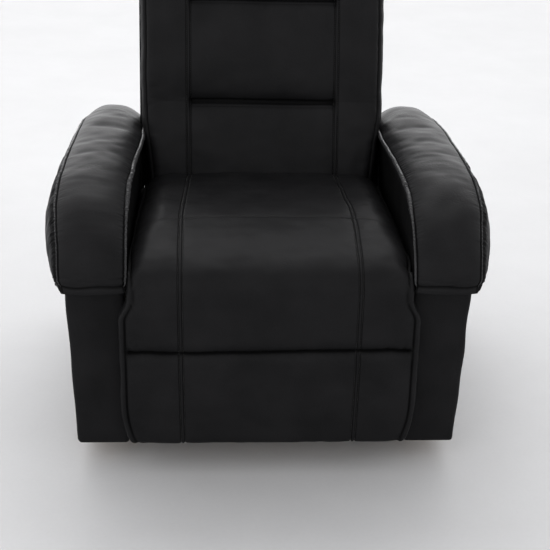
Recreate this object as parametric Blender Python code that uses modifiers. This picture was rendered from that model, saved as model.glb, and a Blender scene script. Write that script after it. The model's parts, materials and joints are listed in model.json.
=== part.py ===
# Recliner chair with a chaise footrest, built as an assembly.
# Metres, +Z up, front towards -Y, origin on the floor under the middle of the chair.
# The seat stands on four swinging links, the footrest hangs on a parallelogram linkage
# that turns it about the front edge of the seat, and the backrest hinges on the seat.

import math

import bmesh
import bpy
from mathutils import Matrix, Vector

for old_object in list(bpy.data.objects):
    bpy.data.objects.remove(old_object, do_unlink=True)

# Clearances
fit_gap = 0.0003
pivot_gap = 0.0004
side_gap = 0.008

# Arms
base_width = 0.770
arm_thickness = 0.104
arm_depth = 0.750
arm_top = 0.460
floor_gap = 0.044
arm_flare = 0.016
arm_padding = 0.006
arm_edge_radius = 0.012
arm_batten = 0.060
arm_panel = 0.012

# Arm pillows
pillow_out = 0.035
pillow_in = 0.004
pillow_front = 0.055
pillow_setback = 0.030
pillow_rise = 0.110
pillow_skirt = 0.062
pillow_radius = 0.048
pillow_nose_drop = 0.095
pillow_nose_length = 0.200
pillow_tail_share = 0.18
pillow_belly_share = 0.45
pillow_shoulder_share = 0.20
pillow_tuck_share = 0.55
pillow_taper_share = 0.35

# Base rails, rear panel and glides
rail_height = 0.050
rail_thickness = 0.025
rail_floor_gap = 0.045
timber_edge = 0.0015
front_rail_setback = 0.070
rear_panel_thickness = 0.0145
rear_panel_top = 0.400
glide_radius = 0.0125
glide_foot_radius = 0.0145
glide_foot_height = 0.006
glide_spacing = 0.420
glide_chamfer = 0.0015

# Steel
sheet = 0.003
pin_radius = 0.004
rivet_head_radius = 0.0072
rivet_head_height = 0.0012
ear_radius = 0.011
link_radius = 0.010
flange_width = 0.022

# Gaps between the layers of the mechanism, from the seat's side rail outwards
bar_side_gap = 0.020
layer_gap = 0.0015
wide_layer_gap = 0.003

# Standing links under the seat
stand_length = 0.160
stand_lean = math.radians(13.0)
stand_pivot_height = 0.110
front_stand_setback = 0.170
stand_spacing = 0.370

# Seat frame and springs
seat_rail_width = 0.025
seat_rail_drop = 0.100
seat_rail_height = 0.047
seat_rail_outer = 0.215
seat_frame_setback = 0.025
seat_frame_depth = 0.510
spring_count = 4
spring_spacing = 0.100
spring_wire = 0.0038
spring_amplitude = 0.022
spring_waves = 7
spring_turn_sharpness = 0.7

# Seat cushion, front roll and footrest
hinge_height = 0.425
pad_thickness = 0.047
pad_overhang = 0.052
back_seat_gap = 0.008
seat_crown = 0.010
seat_rear_drop = 0.016
seat_side_drop = 0.036
seat_front_drop = 0.010
seat_front_share = 0.36
roll_drop = 0.012
seat_edge_radius = 0.026
seam_spacing = 0.344
seam_depth = 0.006
seam_width = 0.016
seam_margin = 0.019
seam_edge_share = 0.93
cross_seam_margin = 0.016
pad_tuck_margin = 0.015
cross_seam_setback = 0.155
pad_bottom = 0.072
pad_hinge_gap = 0.005
pad_edge_radius = 0.016
pad_tuck_drop = 0.155
pad_swell = 0.005
pad_side_swell = 0.011
board_thickness = 0.012
board_drop = 0.053
board_inset = 0.011
board_rise = 0.005

# Footrest linkage: the two bars stay parallel to the line from the front hinge to the swing
# pivots, and the two swings stay parallel to the line of the bracket's pins.
bracket_angle = math.radians(12.8)
upper_pin_reach = 0.1312
lower_pin_reach = 0.1980
long_swing_back = 0.198
long_swing_down = 0.117
swing_spacing = 0.088
bracket_rise = 0.020
bracket_drop = 0.090
bracket_rib = 0.012
tube_radius = 0.009
tube_wall = 0.0015
tube_share = 0.36

# Backrest
back_pivot_inset = 0.015
back_pivot_drop = 0.095
back_lean = math.radians(15.0)
back_length = 0.715
back_start = 0.045
back_front = 0.082
back_crown = 0.012
back_half_gap = 0.009
back_edge_radius = 0.030
back_foot_taper = 0.016
back_foot_height = 0.300
lumbar_height = 0.273
head_height = 0.500
back_tuck_depth = 0.014
back_tuck_width = 0.030
back_frame_front = 0.006
back_frame_depth = 0.032
back_frame_start = 0.055
back_frame_end = 0.655
upright_width = 0.0347
back_rail_height = 0.040
web_thickness = 0.0020
web_width = 0.050
web_spacing = 0.120
back_cover_depth = 0.095
back_cover_wall = 0.004
back_cover_start = 0.070
back_cover_end = 0.702
back_cover_radius = 0.025
back_bracket_length = 0.280
bolt_radius = 0.006
bolt_height = 0.002
bolt_shares = (0.12, 1.0)

# Counts of facets
circle_steps = 10
arc_steps = 5
hull_steps = 16
rivet_steps = 8
soft_levels = 1

# Places that follow from the sizes
arm_half = base_width / 2
arm_inner = arm_half - arm_thickness
seat_half = arm_inner - side_gap
back_half = arm_inner - back_half_gap
back_pivot_setback = seat_frame_setback + seat_frame_depth - back_pivot_inset
back_pivot_height = hinge_height - back_pivot_drop
back_top_rear = (
    back_pivot_setback
    + back_cover_depth * math.cos(back_lean)
    + back_cover_end * math.sin(back_lean)
)
overall_front = -pillow_front
overall_rear = max(arm_depth, back_top_rear)
arm_front = -(overall_front + overall_rear) / 2
arm_rear = arm_front + arm_depth
hinge_y = arm_front - pad_overhang + pad_thickness
rail_top = rail_floor_gap + rail_height
seat_rail_bottom = hinge_height - seat_rail_drop
seat_rail_top = seat_rail_bottom + seat_rail_height
cushion_bottom = seat_rail_top + spring_wire + 2 * fit_gap
pad_tuck_height = hinge_height - pad_tuck_drop
board_top = hinge_height - board_drop
bracket_top = hinge_height - bracket_drop
bracket_bottom = pad_bottom + bracket_rise
seat_top = hinge_height + pad_thickness
seat_frame_front = arm_front + seat_frame_setback
seat_frame_rear = seat_frame_front + seat_frame_depth
pillow_top = arm_top + pillow_rise

# Layers of the mechanism, each the distance of a sheet's inner face from the middle plane
bar_layer = seat_rail_outer + bar_side_gap
swing_layer = bar_layer + sheet + layer_gap
plate_layer = swing_layer + sheet + layer_gap
stand_layer = plate_layer + sheet + wide_layer_gap
bracket_layer = stand_layer + sheet + wide_layer_gap
upright_outer = stand_layer - fit_gap

front_hinge = Vector((0, hinge_y, hinge_height))
pin_line = Vector((0, math.sin(bracket_angle), -math.cos(bracket_angle)))
bar_line = Vector((0, long_swing_back, -long_swing_down))
bar_direction = bar_line.normalized()
long_pivot = front_hinge + bar_line
short_pivot = long_pivot + bar_direction * swing_spacing
upper_pin = front_hinge + pin_line * upper_pin_reach
lower_pin = front_hinge + pin_line * lower_pin_reach
cross_pin = long_pivot + pin_line * upper_pin_reach
long_end = long_pivot + pin_line * lower_pin_reach
short_end = short_pivot + pin_line * upper_pin_reach
tube_centre = short_pivot.lerp(short_end, tube_share)

stand_step = Vector((0, stand_length * math.sin(stand_lean), stand_length * math.cos(stand_lean)))
front_stand = Vector((0, arm_front + front_stand_setback, stand_pivot_height))
rear_stand = front_stand + Vector((0, stand_spacing, 0))
front_stand_pin = front_stand + stand_step
rear_stand_pin = rear_stand + stand_step
back_pivot = Vector((0, arm_front + back_pivot_setback, back_pivot_height))

# The seat cushion ends just in front of the leaning backrest.
back_face = back_pivot.y - back_front * math.cos(back_lean)
back_face_height = back_pivot.z + back_front * math.sin(back_lean)
seat_cushion_rear = back_face + (cushion_bottom - back_face_height) * math.tan(back_lean)
seat_cushion_depth = seat_cushion_rear - back_seat_gap - hinge_y

# Collections
parts = bpy.data.collections.new("recliner_chair")
cutters = bpy.data.collections.new("cutters")
bpy.context.scene.collection.children.link(parts)
bpy.context.scene.collection.children.link(cutters)


def new_material(name, colour, roughness, metallic=0.0):
    """A Principled material with one plain colour."""
    material = bpy.data.materials.new(name)
    material.use_nodes = True
    shader = material.node_tree.nodes["Principled BSDF"]
    shader.inputs["Base Color"].default_value = (*colour, 1.0)
    shader.inputs["Roughness"].default_value = roughness
    shader.inputs["Metallic"].default_value = metallic
    material.diffuse_color = (*colour, 1.0)
    return material


leather = ("leather", (0.022, 0.020, 0.021), 0.38)
timber = ("timber", (0.50, 0.34, 0.19), 0.70)
zinc_steel = ("zinc_steel", (0.55, 0.56, 0.58), 0.35, 1.0)
black_steel = ("black_steel", (0.03, 0.03, 0.03), 0.45, 1.0)
spring_steel = ("spring_steel", (0.35, 0.35, 0.36), 0.40, 1.0)
black_plastic = ("black_plastic", (0.015, 0.015, 0.015), 0.50)
webbing = ("webbing", (0.08, 0.075, 0.07), 0.85)


def new_empty(name, place, parent=None, lean=0.0):
    """An empty on a joint's axis, which carries the pieces of one moving body."""
    empty = bpy.data.objects.new(name, None)
    parts.objects.link(empty)
    empty.parent = parent
    empty.location = place
    empty.rotation_euler.x = -lean
    return empty


def finish(body_object, material, body, collection=parts):
    """Give an object its own material, put it in a collection and hang it on its body."""
    name, *look = material
    body_object.data.materials.clear()
    body_object.data.materials.append(new_material(f"{body_object.name}_{name}", *look))
    for holder in list(body_object.users_collection):
        holder.objects.unlink(body_object)
    collection.objects.link(body_object)
    if body is not None:
        body_object.parent = body["empty"]
        body_object.location -= body["origin"]
    return body_object


def smooth(body_object, angle=math.radians(35.0)):
    """Shade a mesh smooth and keep its hard edges sharp."""
    body_object.data.shade_smooth()
    body_object.data.set_sharp_from_angle(angle=angle)


def bevel(body_object, width, segments=2):
    """Round the edges of a mesh with a Bevel modifier."""
    modifier = body_object.modifiers.new("rounded edges", "BEVEL")
    modifier.width = width
    modifier.segments = segments
    modifier.limit_method = "ANGLE"
    return modifier


def new_block(name, low, high, material, body, edge=0.0, collection=parts):
    """A box between two corners, with rounded edges where edge is given."""
    mesh = bpy.data.meshes.new(name)
    cage = bmesh.new()
    bmesh.ops.create_cube(cage, size=1.0)
    low = Vector(low)
    high = Vector(high)
    bmesh.ops.scale(cage, vec=high - low, verts=cage.verts)
    bmesh.ops.translate(cage, vec=(low + high) / 2, verts=cage.verts)
    cage.to_mesh(mesh)
    cage.free()
    block = bpy.data.objects.new(name, mesh)
    if edge:
        bevel(block, edge, 1)
    return finish(block, material, body, collection)


def operand_block(name, low, high, material, body):
    """A block that another piece is cut or joined with, kept out of the model."""
    block = new_block(name, low, high, material, body, collection=cutters)
    block.hide_render = True
    block.display_type = "WIRE"
    return block


def new_cylinder(name, place, radius, low, high, collection, steps=circle_steps):
    """A cylinder along X between two distances from the middle plane."""
    mesh = bpy.data.meshes.new(name)
    cage = bmesh.new()
    bmesh.ops.create_cone(
        cage, cap_ends=True, segments=steps, radius1=radius, radius2=radius, depth=high - low
    )
    turn = Matrix.Rotation(math.radians(90.0), 4, "Y")
    bmesh.ops.transform(cage, matrix=turn, verts=cage.verts)
    bmesh.ops.translate(cage, vec=((low + high) / 2, place.y, place.z), verts=cage.verts)
    cage.to_mesh(mesh)
    cage.free()
    cylinder = bpy.data.objects.new(name, mesh)
    collection.objects.link(cylinder)
    return cylinder


def hide_cutter(cutter, body):
    """Keep a boolean's operand out of the model and move it with its body."""
    cutter.hide_render = True
    cutter.display_type = "WIRE"
    if body is not None:
        cutter.parent = body["empty"]
        cutter.location -= body["origin"]


def boolean(target, cutter, operation):
    """Cut or join with the exact solver."""
    modifier = target.modifiers.new(cutter.name, "BOOLEAN")
    modifier.operation = operation
    modifier.solver = "EXACT"
    modifier.object = cutter


def join_group(target, members):
    """Join several pieces to a target in one union."""
    group = bpy.data.collections.new(f"{target.name}_joined")
    cutters.children.link(group)
    for member in members:
        group.objects.link(member)
    modifier = target.modifiers.new("joined", "BOOLEAN")
    modifier.operation = "UNION"
    modifier.solver = "EXACT"
    modifier.operand_type = "COLLECTION"
    modifier.collection = group


def circle_points(centre, radius, steps):
    """Points of a circle in the Y-Z plane."""
    turns = [2 * math.pi * step / steps for step in range(steps)]
    return [(centre.y + radius * math.cos(t), centre.z + radius * math.sin(t)) for t in turns]


def hull_points(circles, steps=hull_steps):
    """The outline of a band pulled tight round several circles: their convex hull."""
    cloud = []
    for centre, radius in circles:
        cloud += circle_points(centre, radius, steps)
    cloud = sorted(set((round(a, 6), round(b, 6)) for a, b in cloud))

    def half(points):
        chain = []
        for point in points:
            while len(chain) > 1:
                (ay, az), (by, bz) = chain[-2], chain[-1]
                if (by - ay) * (point[1] - az) - (bz - az) * (point[0] - ay) > 0:
                    break
                chain.pop()
            chain.append(point)
        return chain[:-1]

    return half(cloud) + half(cloud[::-1])


def strap_points(centres, radius):
    """The outline of a strap of even width along a bent line, with round ends."""

    def trace(points):
        line = []
        start = (points[1] - points[0]).normalized()
        heading = math.atan2(start.z, start.y)
        for step in range(circle_steps + 1):
            turn = heading - math.pi / 2 - math.pi * step / circle_steps
            line.append((points[0].y + radius * math.cos(turn), points[0].z + radius * math.sin(turn)))
        for before, here, after in zip(points, points[1:], points[2:]):
            first = (here - before).normalized()
            second = (after - here).normalized()
            first_side = Vector((0, -first.z, first.y))
            bisector = (first_side + Vector((0, -second.z, second.y))).normalized()
            corner = here + bisector * (radius / bisector.dot(first_side))
            line.append((corner.y, corner.z))
        return line

    return trace(centres) + trace(centres[::-1])


def sheet_outline(name, outlines, low, high):
    """A flat sheet across X: 2D curve outlines, filled and extruded, then made a mesh."""
    curve = bpy.data.curves.new(name, "CURVE")
    curve.dimensions = "2D"
    curve.fill_mode = "BOTH"
    curve.extrude = (high - low) / 2
    for outline in outlines:
        spline = curve.splines.new("POLY")
        spline.points.add(len(outline) - 1)
        for point, (y, z) in zip(spline.points, outline):
            point.co = (y, z, 0.0, 1.0)
        spline.use_cyclic_u = True
    guide = bpy.data.objects.new(name + "_curve", curve)
    cutters.objects.link(guide)
    guide.rotation_euler = (math.radians(90.0), 0.0, math.radians(90.0))
    guide.location.x = (low + high) / 2
    bpy.context.view_layer.update()
    graph = bpy.context.evaluated_depsgraph_get()
    mesh = bpy.data.meshes.new_from_object(guide.evaluated_get(graph))
    mesh.transform(guide.matrix_world)
    cage = bmesh.new()
    cage.from_mesh(mesh)
    bmesh.ops.remove_doubles(cage, verts=cage.verts, dist=fit_gap / 10)
    bmesh.ops.recalc_face_normals(cage, faces=cage.faces)
    cage.to_mesh(mesh)
    cage.free()
    bpy.data.objects.remove(guide, do_unlink=True)
    mesh.name = name
    result = bpy.data.objects.new(name, mesh)
    parts.objects.link(result)
    return result


def turned(name, profile, steps, collection):
    """A profile of (radius, height) pairs, listed downwards, turned about Z with Screw."""
    mesh = bpy.data.meshes.new(name)
    vertices = [(radius, 0.0, height) for radius, height in profile]
    edges = [(index, index + 1) for index in range(len(vertices) - 1)]
    mesh.from_pydata(vertices, edges, [])
    body_object = bpy.data.objects.new(name, mesh)
    collection.objects.link(body_object)
    screw = body_object.modifiers.new("turned", "SCREW")
    screw.steps = steps
    screw.render_steps = steps
    screw.use_merge_vertices = True
    screw.merge_threshold = fit_gap / 10
    screw.use_smooth_shade = True
    return body_object


def new_rivet(name, body, place, side, head, sheet_inner, sheet_outer):
    """A rivet for its own sheet: a shank through both sheets with a head past the far one.

    The rivet's own sheet spans sheet_inner to sheet_outer, and head is the far face of the
    sheet that turns on it, on the inner or the outer side. A boss keeps the sheets apart.
    """
    inwards = head < sheet_inner
    if inwards:
        start, near, far = sheet_outer, sheet_inner, head
        step = -1
        partner = head + sheet
    else:
        start, near, far = sheet_inner, sheet_outer, head
        step = 1
        partner = head - sheet
    root = rivet_head_height / 2
    profile = [
        (0.0, start - step * root),
        (pin_radius, start - step * root),
        (pin_radius, start + step * sheet / 2),
        (rivet_head_radius, start + step * sheet / 2),
        (rivet_head_radius, partner - step * fit_gap),
        (pin_radius, partner - step * fit_gap),
        (pin_radius, far + step * fit_gap),
        (rivet_head_radius, far + step * fit_gap),
        (rivet_head_radius, far + step * (fit_gap + rivet_head_height)),
        (0.0, far + step * (fit_gap + rivet_head_height)),
    ]
    if step > 0:
        profile = profile[::-1]
    rivet = turned(name, profile, rivet_steps, cutters)
    rivet.rotation_euler.y = math.radians(90.0)
    rivet.location = (0.0, place.y, place.z)
    if side < 0:
        rivet.rotation_euler.y = math.radians(-90.0)
    hide_cutter(rivet, body)
    return rivet


def link_sheet(name, outline, holes, layer, side, body, material=zinc_steel):
    """A steel link or plate of a given outline, with a hole for each pin."""
    low, high = sorted((side * layer, side * (layer + sheet)))
    outlines = [outline]
    outlines += [circle_points(place, radius, circle_steps) for place, radius in holes]
    link = sheet_outline(name, outlines, low, high)
    smooth(link)
    return finish(link, material, body)


def soft_block(name, low, high, radius, cuts, shape, material, body, flat=()):
    """A padded block: a cube cut into a cage, rounded, shaped by a rule and subdivided.

    Each (axis, sign) in flat is a face that stays flat, with a crease round it.
    """
    low = Vector(low)
    high = Vector(high)
    centre = (low + high) / 2
    half = (high - low) / 2
    mesh = bpy.data.meshes.new(name)
    cage = bmesh.new()
    bmesh.ops.create_cube(cage, size=2.0)
    for axis, shares in enumerate(cuts):
        normal = Vector((0, 0, 0))
        normal[axis] = 1.0
        for share in shares:
            place = normal * (2 * share - 1)
            geometry = cage.verts[:] + cage.edges[:] + cage.faces[:]
            bmesh.ops.bisect_plane(cage, geom=geometry, plane_co=place, plane_no=normal)
    crease = cage.edges.layers.float.new("crease_edge")
    for axis, sign in flat:
        for edge in cage.edges:
            on_face = all(vertex.co[axis] * sign > 1 - fit_gap for vertex in edge.verts)
            on_rim = any(
                all(abs(vertex.co[other]) > 1 - fit_gap for vertex in edge.verts)
                and edge.verts[0].co[other] * edge.verts[1].co[other] > 0
                for other in range(3)
                if other != axis
            )
            if on_face and on_rim:
                edge[crease] = 1.0
    for vertex in cage.verts:
        point = Vector([vertex.co[axis] * half[axis] for axis in range(3)])
        low_limit = [-half[a] + (0.0 if (a, -1) in flat else radius) for a in range(3)]
        high_limit = [half[a] - (0.0 if (a, 1) in flat else radius) for a in range(3)]
        inner = Vector([max(low_limit[a], min(high_limit[a], point[a])) for a in range(3)])
        outward = point - inner
        if outward.length > 0:
            outward = outward.normalized() * radius
        place = centre + inner + outward
        vertex.co = shape(place)
    cage.to_mesh(mesh)
    cage.free()
    block = bpy.data.objects.new(name, mesh)
    subdivide = block.modifiers.new("soft", "SUBSURF")
    subdivide.levels = soft_levels
    subdivide.render_levels = soft_levels
    mesh.shade_smooth()
    return finish(block, material, body)


def mirrored_shares(half_shares):
    """Shares of the whole width from shares of the half width, on both sides of the middle."""
    return sorted({(1 + sign * share) / 2 for share in half_shares for sign in (-1, 1)})


def seam_shares(half):
    """Shares across a cushion that put cage lines on its long seams and beside them."""
    seam = seam_spacing / 2 / half
    margin = seam_margin / half
    return mirrored_shares((0.0, seam - margin, seam, seam + margin, seam_edge_share))


def dip(value, centre, width):
    """A smooth groove: 1 on its middle line, falling to 0 at its width."""
    share = min(abs(value - centre) / width, 1.0)
    return (1 - share * share) ** 2


# Bodies, each with an empty on its joint's axis
def new_body(name, origin, parent=None, lean=0.0):
    """A moving body: its empty, and the point that its pieces are placed from."""
    holder = None if parent is None else parent["empty"]
    place = origin if parent is None else origin - parent["origin"]
    return {"empty": new_empty(name, place, holder, lean), "origin": origin}


floor_origin = Vector((0, 0, 0))
base = new_body("base", floor_origin)
front_swing = new_body("front_stand_links", front_stand, base)
rear_swing = new_body("rear_stand_links", rear_stand, base)
seat = new_body("seat_carriage", front_stand_pin, front_swing)
footrest = new_body("footrest", front_hinge, seat)
long_swing = new_body("long_swings", long_pivot, seat)
short_swing = new_body("short_swings", short_pivot, seat)
upper_bar = new_body("upper_bars", cross_pin, long_swing)
lower_bar = new_body("lower_bars", long_end, long_swing)
backrest = new_body("backrest", back_pivot, seat, back_lean)

sides = {"left": -1, "right": 1}


def span(side, inner, outer):
    """The two X limits between an inner and an outer distance, on one side."""
    return sorted((side * inner, side * outer))


# Arms
def flare(block, side):
    """Lean a block's outer side outwards: by nothing at the arm's foot, by arm_flare at its top."""
    for vertex in block.data.vertices:
        share = (vertex.co.z - floor_gap) / (arm_top - floor_gap)
        outer = (side * vertex.co.x - arm_inner) / arm_thickness
        vertex.co.x += side * arm_flare * share * max(outer, 0.0)


def build_arm(label, side):
    """A timber arm frame, its padded cover and the pillow that hugs its top."""
    cover_low, cover_high = span(side, arm_inner, arm_half)
    mesh = bpy.data.meshes.new(f"arm_cover_{label}")
    cage = bmesh.new()
    bmesh.ops.create_cube(cage, size=1.0)
    size = Vector((arm_thickness, arm_depth, arm_top - floor_gap))
    bmesh.ops.scale(cage, vec=size, verts=cage.verts)
    centre = ((cover_low + cover_high) / 2, (arm_front + arm_rear) / 2, (arm_top + floor_gap) / 2)
    bmesh.ops.translate(cage, vec=centre, verts=cage.verts)
    bottom = min(cage.faces, key=lambda face: face.calc_center_median().z)
    bmesh.ops.delete(cage, geom=[bottom], context="FACES_ONLY")
    cage.to_mesh(mesh)
    cage.free()
    cover = bpy.data.objects.new(f"arm_cover_{label}", mesh)
    flare(cover, side)
    bevel(cover, arm_edge_radius, 2)
    shell = cover.modifiers.new("padding", "SOLIDIFY")
    shell.thickness = arm_padding
    shell.offset = -1.0
    shell.use_even_offset = True
    smooth(cover)
    finish(cover, leather, base)

    room = arm_padding + fit_gap
    frame_low, frame_high = span(side, arm_inner + room, arm_half - room)
    frame = new_block(
        f"arm_frame_{label}",
        (frame_low, arm_front + room, floor_gap),
        (frame_high, arm_rear - room, arm_top - room),
        timber,
        base,
    )
    # The frame is a ply panel on the inner side with battens round its edge.
    flare(frame, side)
    pocket_low, pocket_high = span(side, arm_inner + room + arm_panel, arm_half + arm_flare)
    pocket = operand_block(
        f"arm_pocket_{label}",
        (pocket_low, arm_front + room + arm_batten, floor_gap + arm_batten),
        (pocket_high, arm_rear - room - arm_batten, arm_top - room - arm_batten),
        timber,
        base,
    )
    bevel(frame, arm_edge_radius, 1)
    boolean(frame, pocket, "DIFFERENCE")


def pillow_shape(side):
    """The pillow swells outwards at mid height and is gathered in at its front lower edge."""
    low = arm_top - pillow_skirt
    height = pillow_top - low
    length = arm_depth + pillow_front - pillow_setback

    def shape(place):
        rise = (place.z - low) / height
        along = (place.y - (arm_front - pillow_front)) / length
        outer = side * place.x - (arm_inner - pillow_in)
        width = pillow_out + pillow_in + arm_thickness
        outside = max(2 * outer / width - 1, 0.0)
        below_belly = 1 - min(rise / pillow_belly_share, 1.0)
        tuck = pillow_tuck_share * below_belly + pillow_taper_share * along
        place.x -= side * outside * pillow_out * tuck
        if rise > pillow_shoulder_share:
            upper = (rise - pillow_shoulder_share) / (1 - pillow_shoulder_share)
            nose = max(1 - along * length / pillow_nose_length, 0.0)
            place.z -= upper * (pillow_rise * pillow_tail_share * along + pillow_nose_drop * nose ** 2)
        return place

    return shape


def build_pillow(label, side):
    """A soft arm pillow, cut below so that it fits over the arm's top, front and outer side."""
    low_x, high_x = span(side, arm_inner - pillow_in, arm_half + pillow_out)
    even_shares = (0.12, 0.3, 0.5, 0.7, 0.88)
    long_shares = (0.05, 0.13, 0.22, 0.4, 0.7, 0.94)
    pillow = soft_block(
        f"arm_pillow_{label}",
        (low_x, arm_front - pillow_front, arm_top - pillow_skirt),
        (high_x, arm_rear - pillow_setback, pillow_top),
        pillow_radius,
        (even_shares, long_shares, even_shares),
        pillow_shape(side),
        leather,
        base,
    )
    cut_low, cut_high = span(side, arm_inner - arm_thickness, arm_half + fit_gap)
    cutter = operand_block(
        f"arm_room_{label}",
        (cut_low, arm_front - fit_gap, floor_gap),
        (cut_high, arm_rear + arm_thickness, arm_top + fit_gap),
        leather,
        base,
    )
    flare(cutter, side)
    boolean(pillow, cutter, "DIFFERENCE")


# Base
def build_base():
    """Cross rails between the arms, the rear panel, the glides and the pivot brackets."""
    reach = arm_inner - fit_gap
    front_y = arm_front + front_rail_setback
    rear_y = arm_rear - rear_panel_thickness - fit_gap
    rails = {
        "base_front_rail": (front_y, front_y + rail_thickness),
        "base_rear_rail": (rear_y - rail_thickness, rear_y),
    }
    for name, (low_y, high_y) in rails.items():
        new_block(
            name, (-reach, low_y, rail_floor_gap), (reach, high_y, rail_top), timber, base, timber_edge
        )
        middle = (low_y + high_y) / 2
        for label, side in sides.items():
            end = name.split("_")[1]
            build_glide(f"glide_{end}_{label}", (side * glide_spacing / 2, middle))
    new_block(
        "rear_panel",
        (-reach, arm_rear - rear_panel_thickness, rail_floor_gap),
        (reach, arm_rear, rear_panel_top),
        leather,
        base,
        sheet,
    )
    for label, side in sides.items():
        build_base_bracket(label, side, front_y, rear_y)


def build_glide(name, place):
    """A turned glide: a stem under the rail and a wider foot on the floor."""
    top = rail_floor_gap - fit_gap
    profile = [
        (0.0, top),
        (glide_radius, top),
        (glide_radius, glide_foot_height + glide_chamfer),
        (glide_foot_radius, glide_foot_height),
        (glide_foot_radius, glide_chamfer),
        (glide_foot_radius - glide_chamfer, 0.0),
        (0.0, 0.0),
    ]
    glide = turned(name, profile, hull_steps, parts)
    glide.location = (place[0], place[1], 0.0)
    finish(glide, black_plastic, base)


def build_base_bracket(label, side, front_y, rear_y):
    """A steel angle on the cross rails, with a riveted pivot for each standing link."""
    foot = rail_top + fit_gap
    corners = [
        (Vector((0, front_y + sheet, foot + sheet)), sheet),
        (Vector((0, rear_y - sheet, foot + sheet)), sheet),
        (front_stand, ear_radius),
        (rear_stand, ear_radius),
    ]
    outline = hull_points(corners)
    bracket = link_sheet(f"base_bracket_{label}", outline, [], bracket_layer, side, base, black_steel)
    low, high = span(side, bracket_layer + sheet / 2, bracket_layer + flange_width)
    flange = operand_block(
        f"base_flange_{label}",
        (low, front_y, foot),
        (high, rear_y, foot + sheet),
        black_steel,
        base,
    )
    outer = bracket_layer + sheet
    rivets = [
        new_rivet(f"{bracket.name}_rivet_{end}", base, place, side, stand_layer, bracket_layer, outer)
        for end, place in (("front", front_stand), ("rear", rear_stand))
    ]
    join_group(bracket, [flange, *rivets])


def build_stands(label, side):
    """The standing links between the base brackets and the seat plates."""
    pairs = (
        ("front_stand_link", front_stand, front_stand_pin, front_swing),
        ("rear_stand_link", rear_stand, rear_stand_pin, rear_swing),
    )
    for name, low, high, body in pairs:
        outline = strap_points([low, high], link_radius)
        holes = [(low, pin_radius + pivot_gap), (high, pin_radius + pivot_gap)]
        link_sheet(f"{name}_{label}", outline, holes, stand_layer, side, body)


# Seat carriage
def build_seat_frame():
    """Four timber rails in a rectangle under the springs."""
    side_start = seat_frame_front + seat_rail_width + fit_gap
    side_end = seat_frame_rear - seat_rail_width - fit_gap
    for label, side in sides.items():
        low, high = span(side, seat_rail_outer - seat_rail_width, seat_rail_outer)
        new_block(
            f"seat_side_rail_{label}",
            (low, side_start, seat_rail_bottom),
            (high, side_end, seat_rail_top),
            timber,
            seat,
            timber_edge,
        )
    ends = {
        "seat_front_rail": (seat_frame_front, seat_frame_front + seat_rail_width),
        "seat_rear_rail": (seat_frame_rear - seat_rail_width, seat_frame_rear),
    }
    for name, (low_y, high_y) in ends.items():
        new_block(
            name,
            (-seat_rail_outer, low_y, seat_rail_bottom),
            (seat_rail_outer, high_y, seat_rail_top),
            timber,
            seat,
            timber_edge,
        )


def spring_points():
    """A sinuous spring from the front rail to the rear rail: a sine wave with flattened turns."""
    start = seat_frame_front + seat_rail_width / 2
    length = seat_frame_rear - seat_frame_front - seat_rail_width
    height = seat_rail_top + fit_gap + spring_wire / 2
    count = 4 * spring_waves
    points = []
    for index in range(count + 1):
        share = index / count
        wave = round(math.sin(2 * math.pi * spring_waves * share), 6)
        side_step = math.copysign(abs(wave) ** spring_turn_sharpness, wave)
        points.append((spring_amplitude * side_step, start + length * share, height))
    return points


def build_springs():
    """Sinuous springs side by side across the seat frame."""
    for index in range(spring_count):
        place = (index - (spring_count - 1) / 2) * spring_spacing
        curve = bpy.data.curves.new(f"seat_spring_{index + 1}", "CURVE")
        curve.dimensions = "3D"
        curve.bevel_depth = spring_wire / 2
        curve.bevel_resolution = 1
        curve.use_fill_caps = True
        spline = curve.splines.new("POLY")
        points = spring_points()
        spline.points.add(len(points) - 1)
        for point, place_3d in zip(spline.points, points):
            point.co = (*place_3d, 1.0)
        spring = bpy.data.objects.new(f"seat_spring_{index + 1}", curve)
        spring.location.x = place
        finish(spring, spring_steel, seat)


def seat_shape(place):
    """A crowned seat: high in front, lower behind and at its rear sides, with seam grooves."""
    height = seat_top - cushion_bottom
    rise = (place.z - cushion_bottom) / height
    along = (place.y - hinge_y) / seat_cushion_depth
    across = min(abs(place.x) / seat_half, 1.0)
    swell = seat_crown * (1 - across * across) * math.sin(math.pi * min(max(along, 0.0), 1.0))
    groove = seam_depth * dip(abs(place.x), seam_spacing / 2, seam_width)
    groove = max(groove, seam_depth * dip(place.y, arm_front + cross_seam_setback, seam_width))
    fall = (seat_rear_drop + seat_side_drop * across * across) * max(along, 0.0)
    fall += seat_front_drop * max(1 - along / seat_front_share, 0.0) ** 2
    place.z += rise * (swell - groove - fall)
    # The rear face leans with the backrest in front of which it ends.
    place.y += max(along, 0.0) * (place.z - cushion_bottom) * math.tan(back_lean)
    return place


def build_seat_cushion():
    """The seat cushion on its springs, up to the footrest's hinge line."""
    cross = (cross_seam_setback + pad_overhang - pad_thickness) / seat_cushion_depth
    margin = cross_seam_margin / seat_cushion_depth
    along_shares = (0.18, cross - margin, cross, cross + margin, 0.6, 0.8, 0.94)
    soft_block(
        "seat_cushion",
        (-seat_half, hinge_y + fit_gap, cushion_bottom),
        (seat_half, hinge_y + seat_cushion_depth, seat_top),
        seat_edge_radius,
        (seam_shares(seat_half), along_shares, (0.5, 0.8)),
        seat_shape,
        leather,
        seat,
        flat=((1, -1), (2, -1)),
    )


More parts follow.
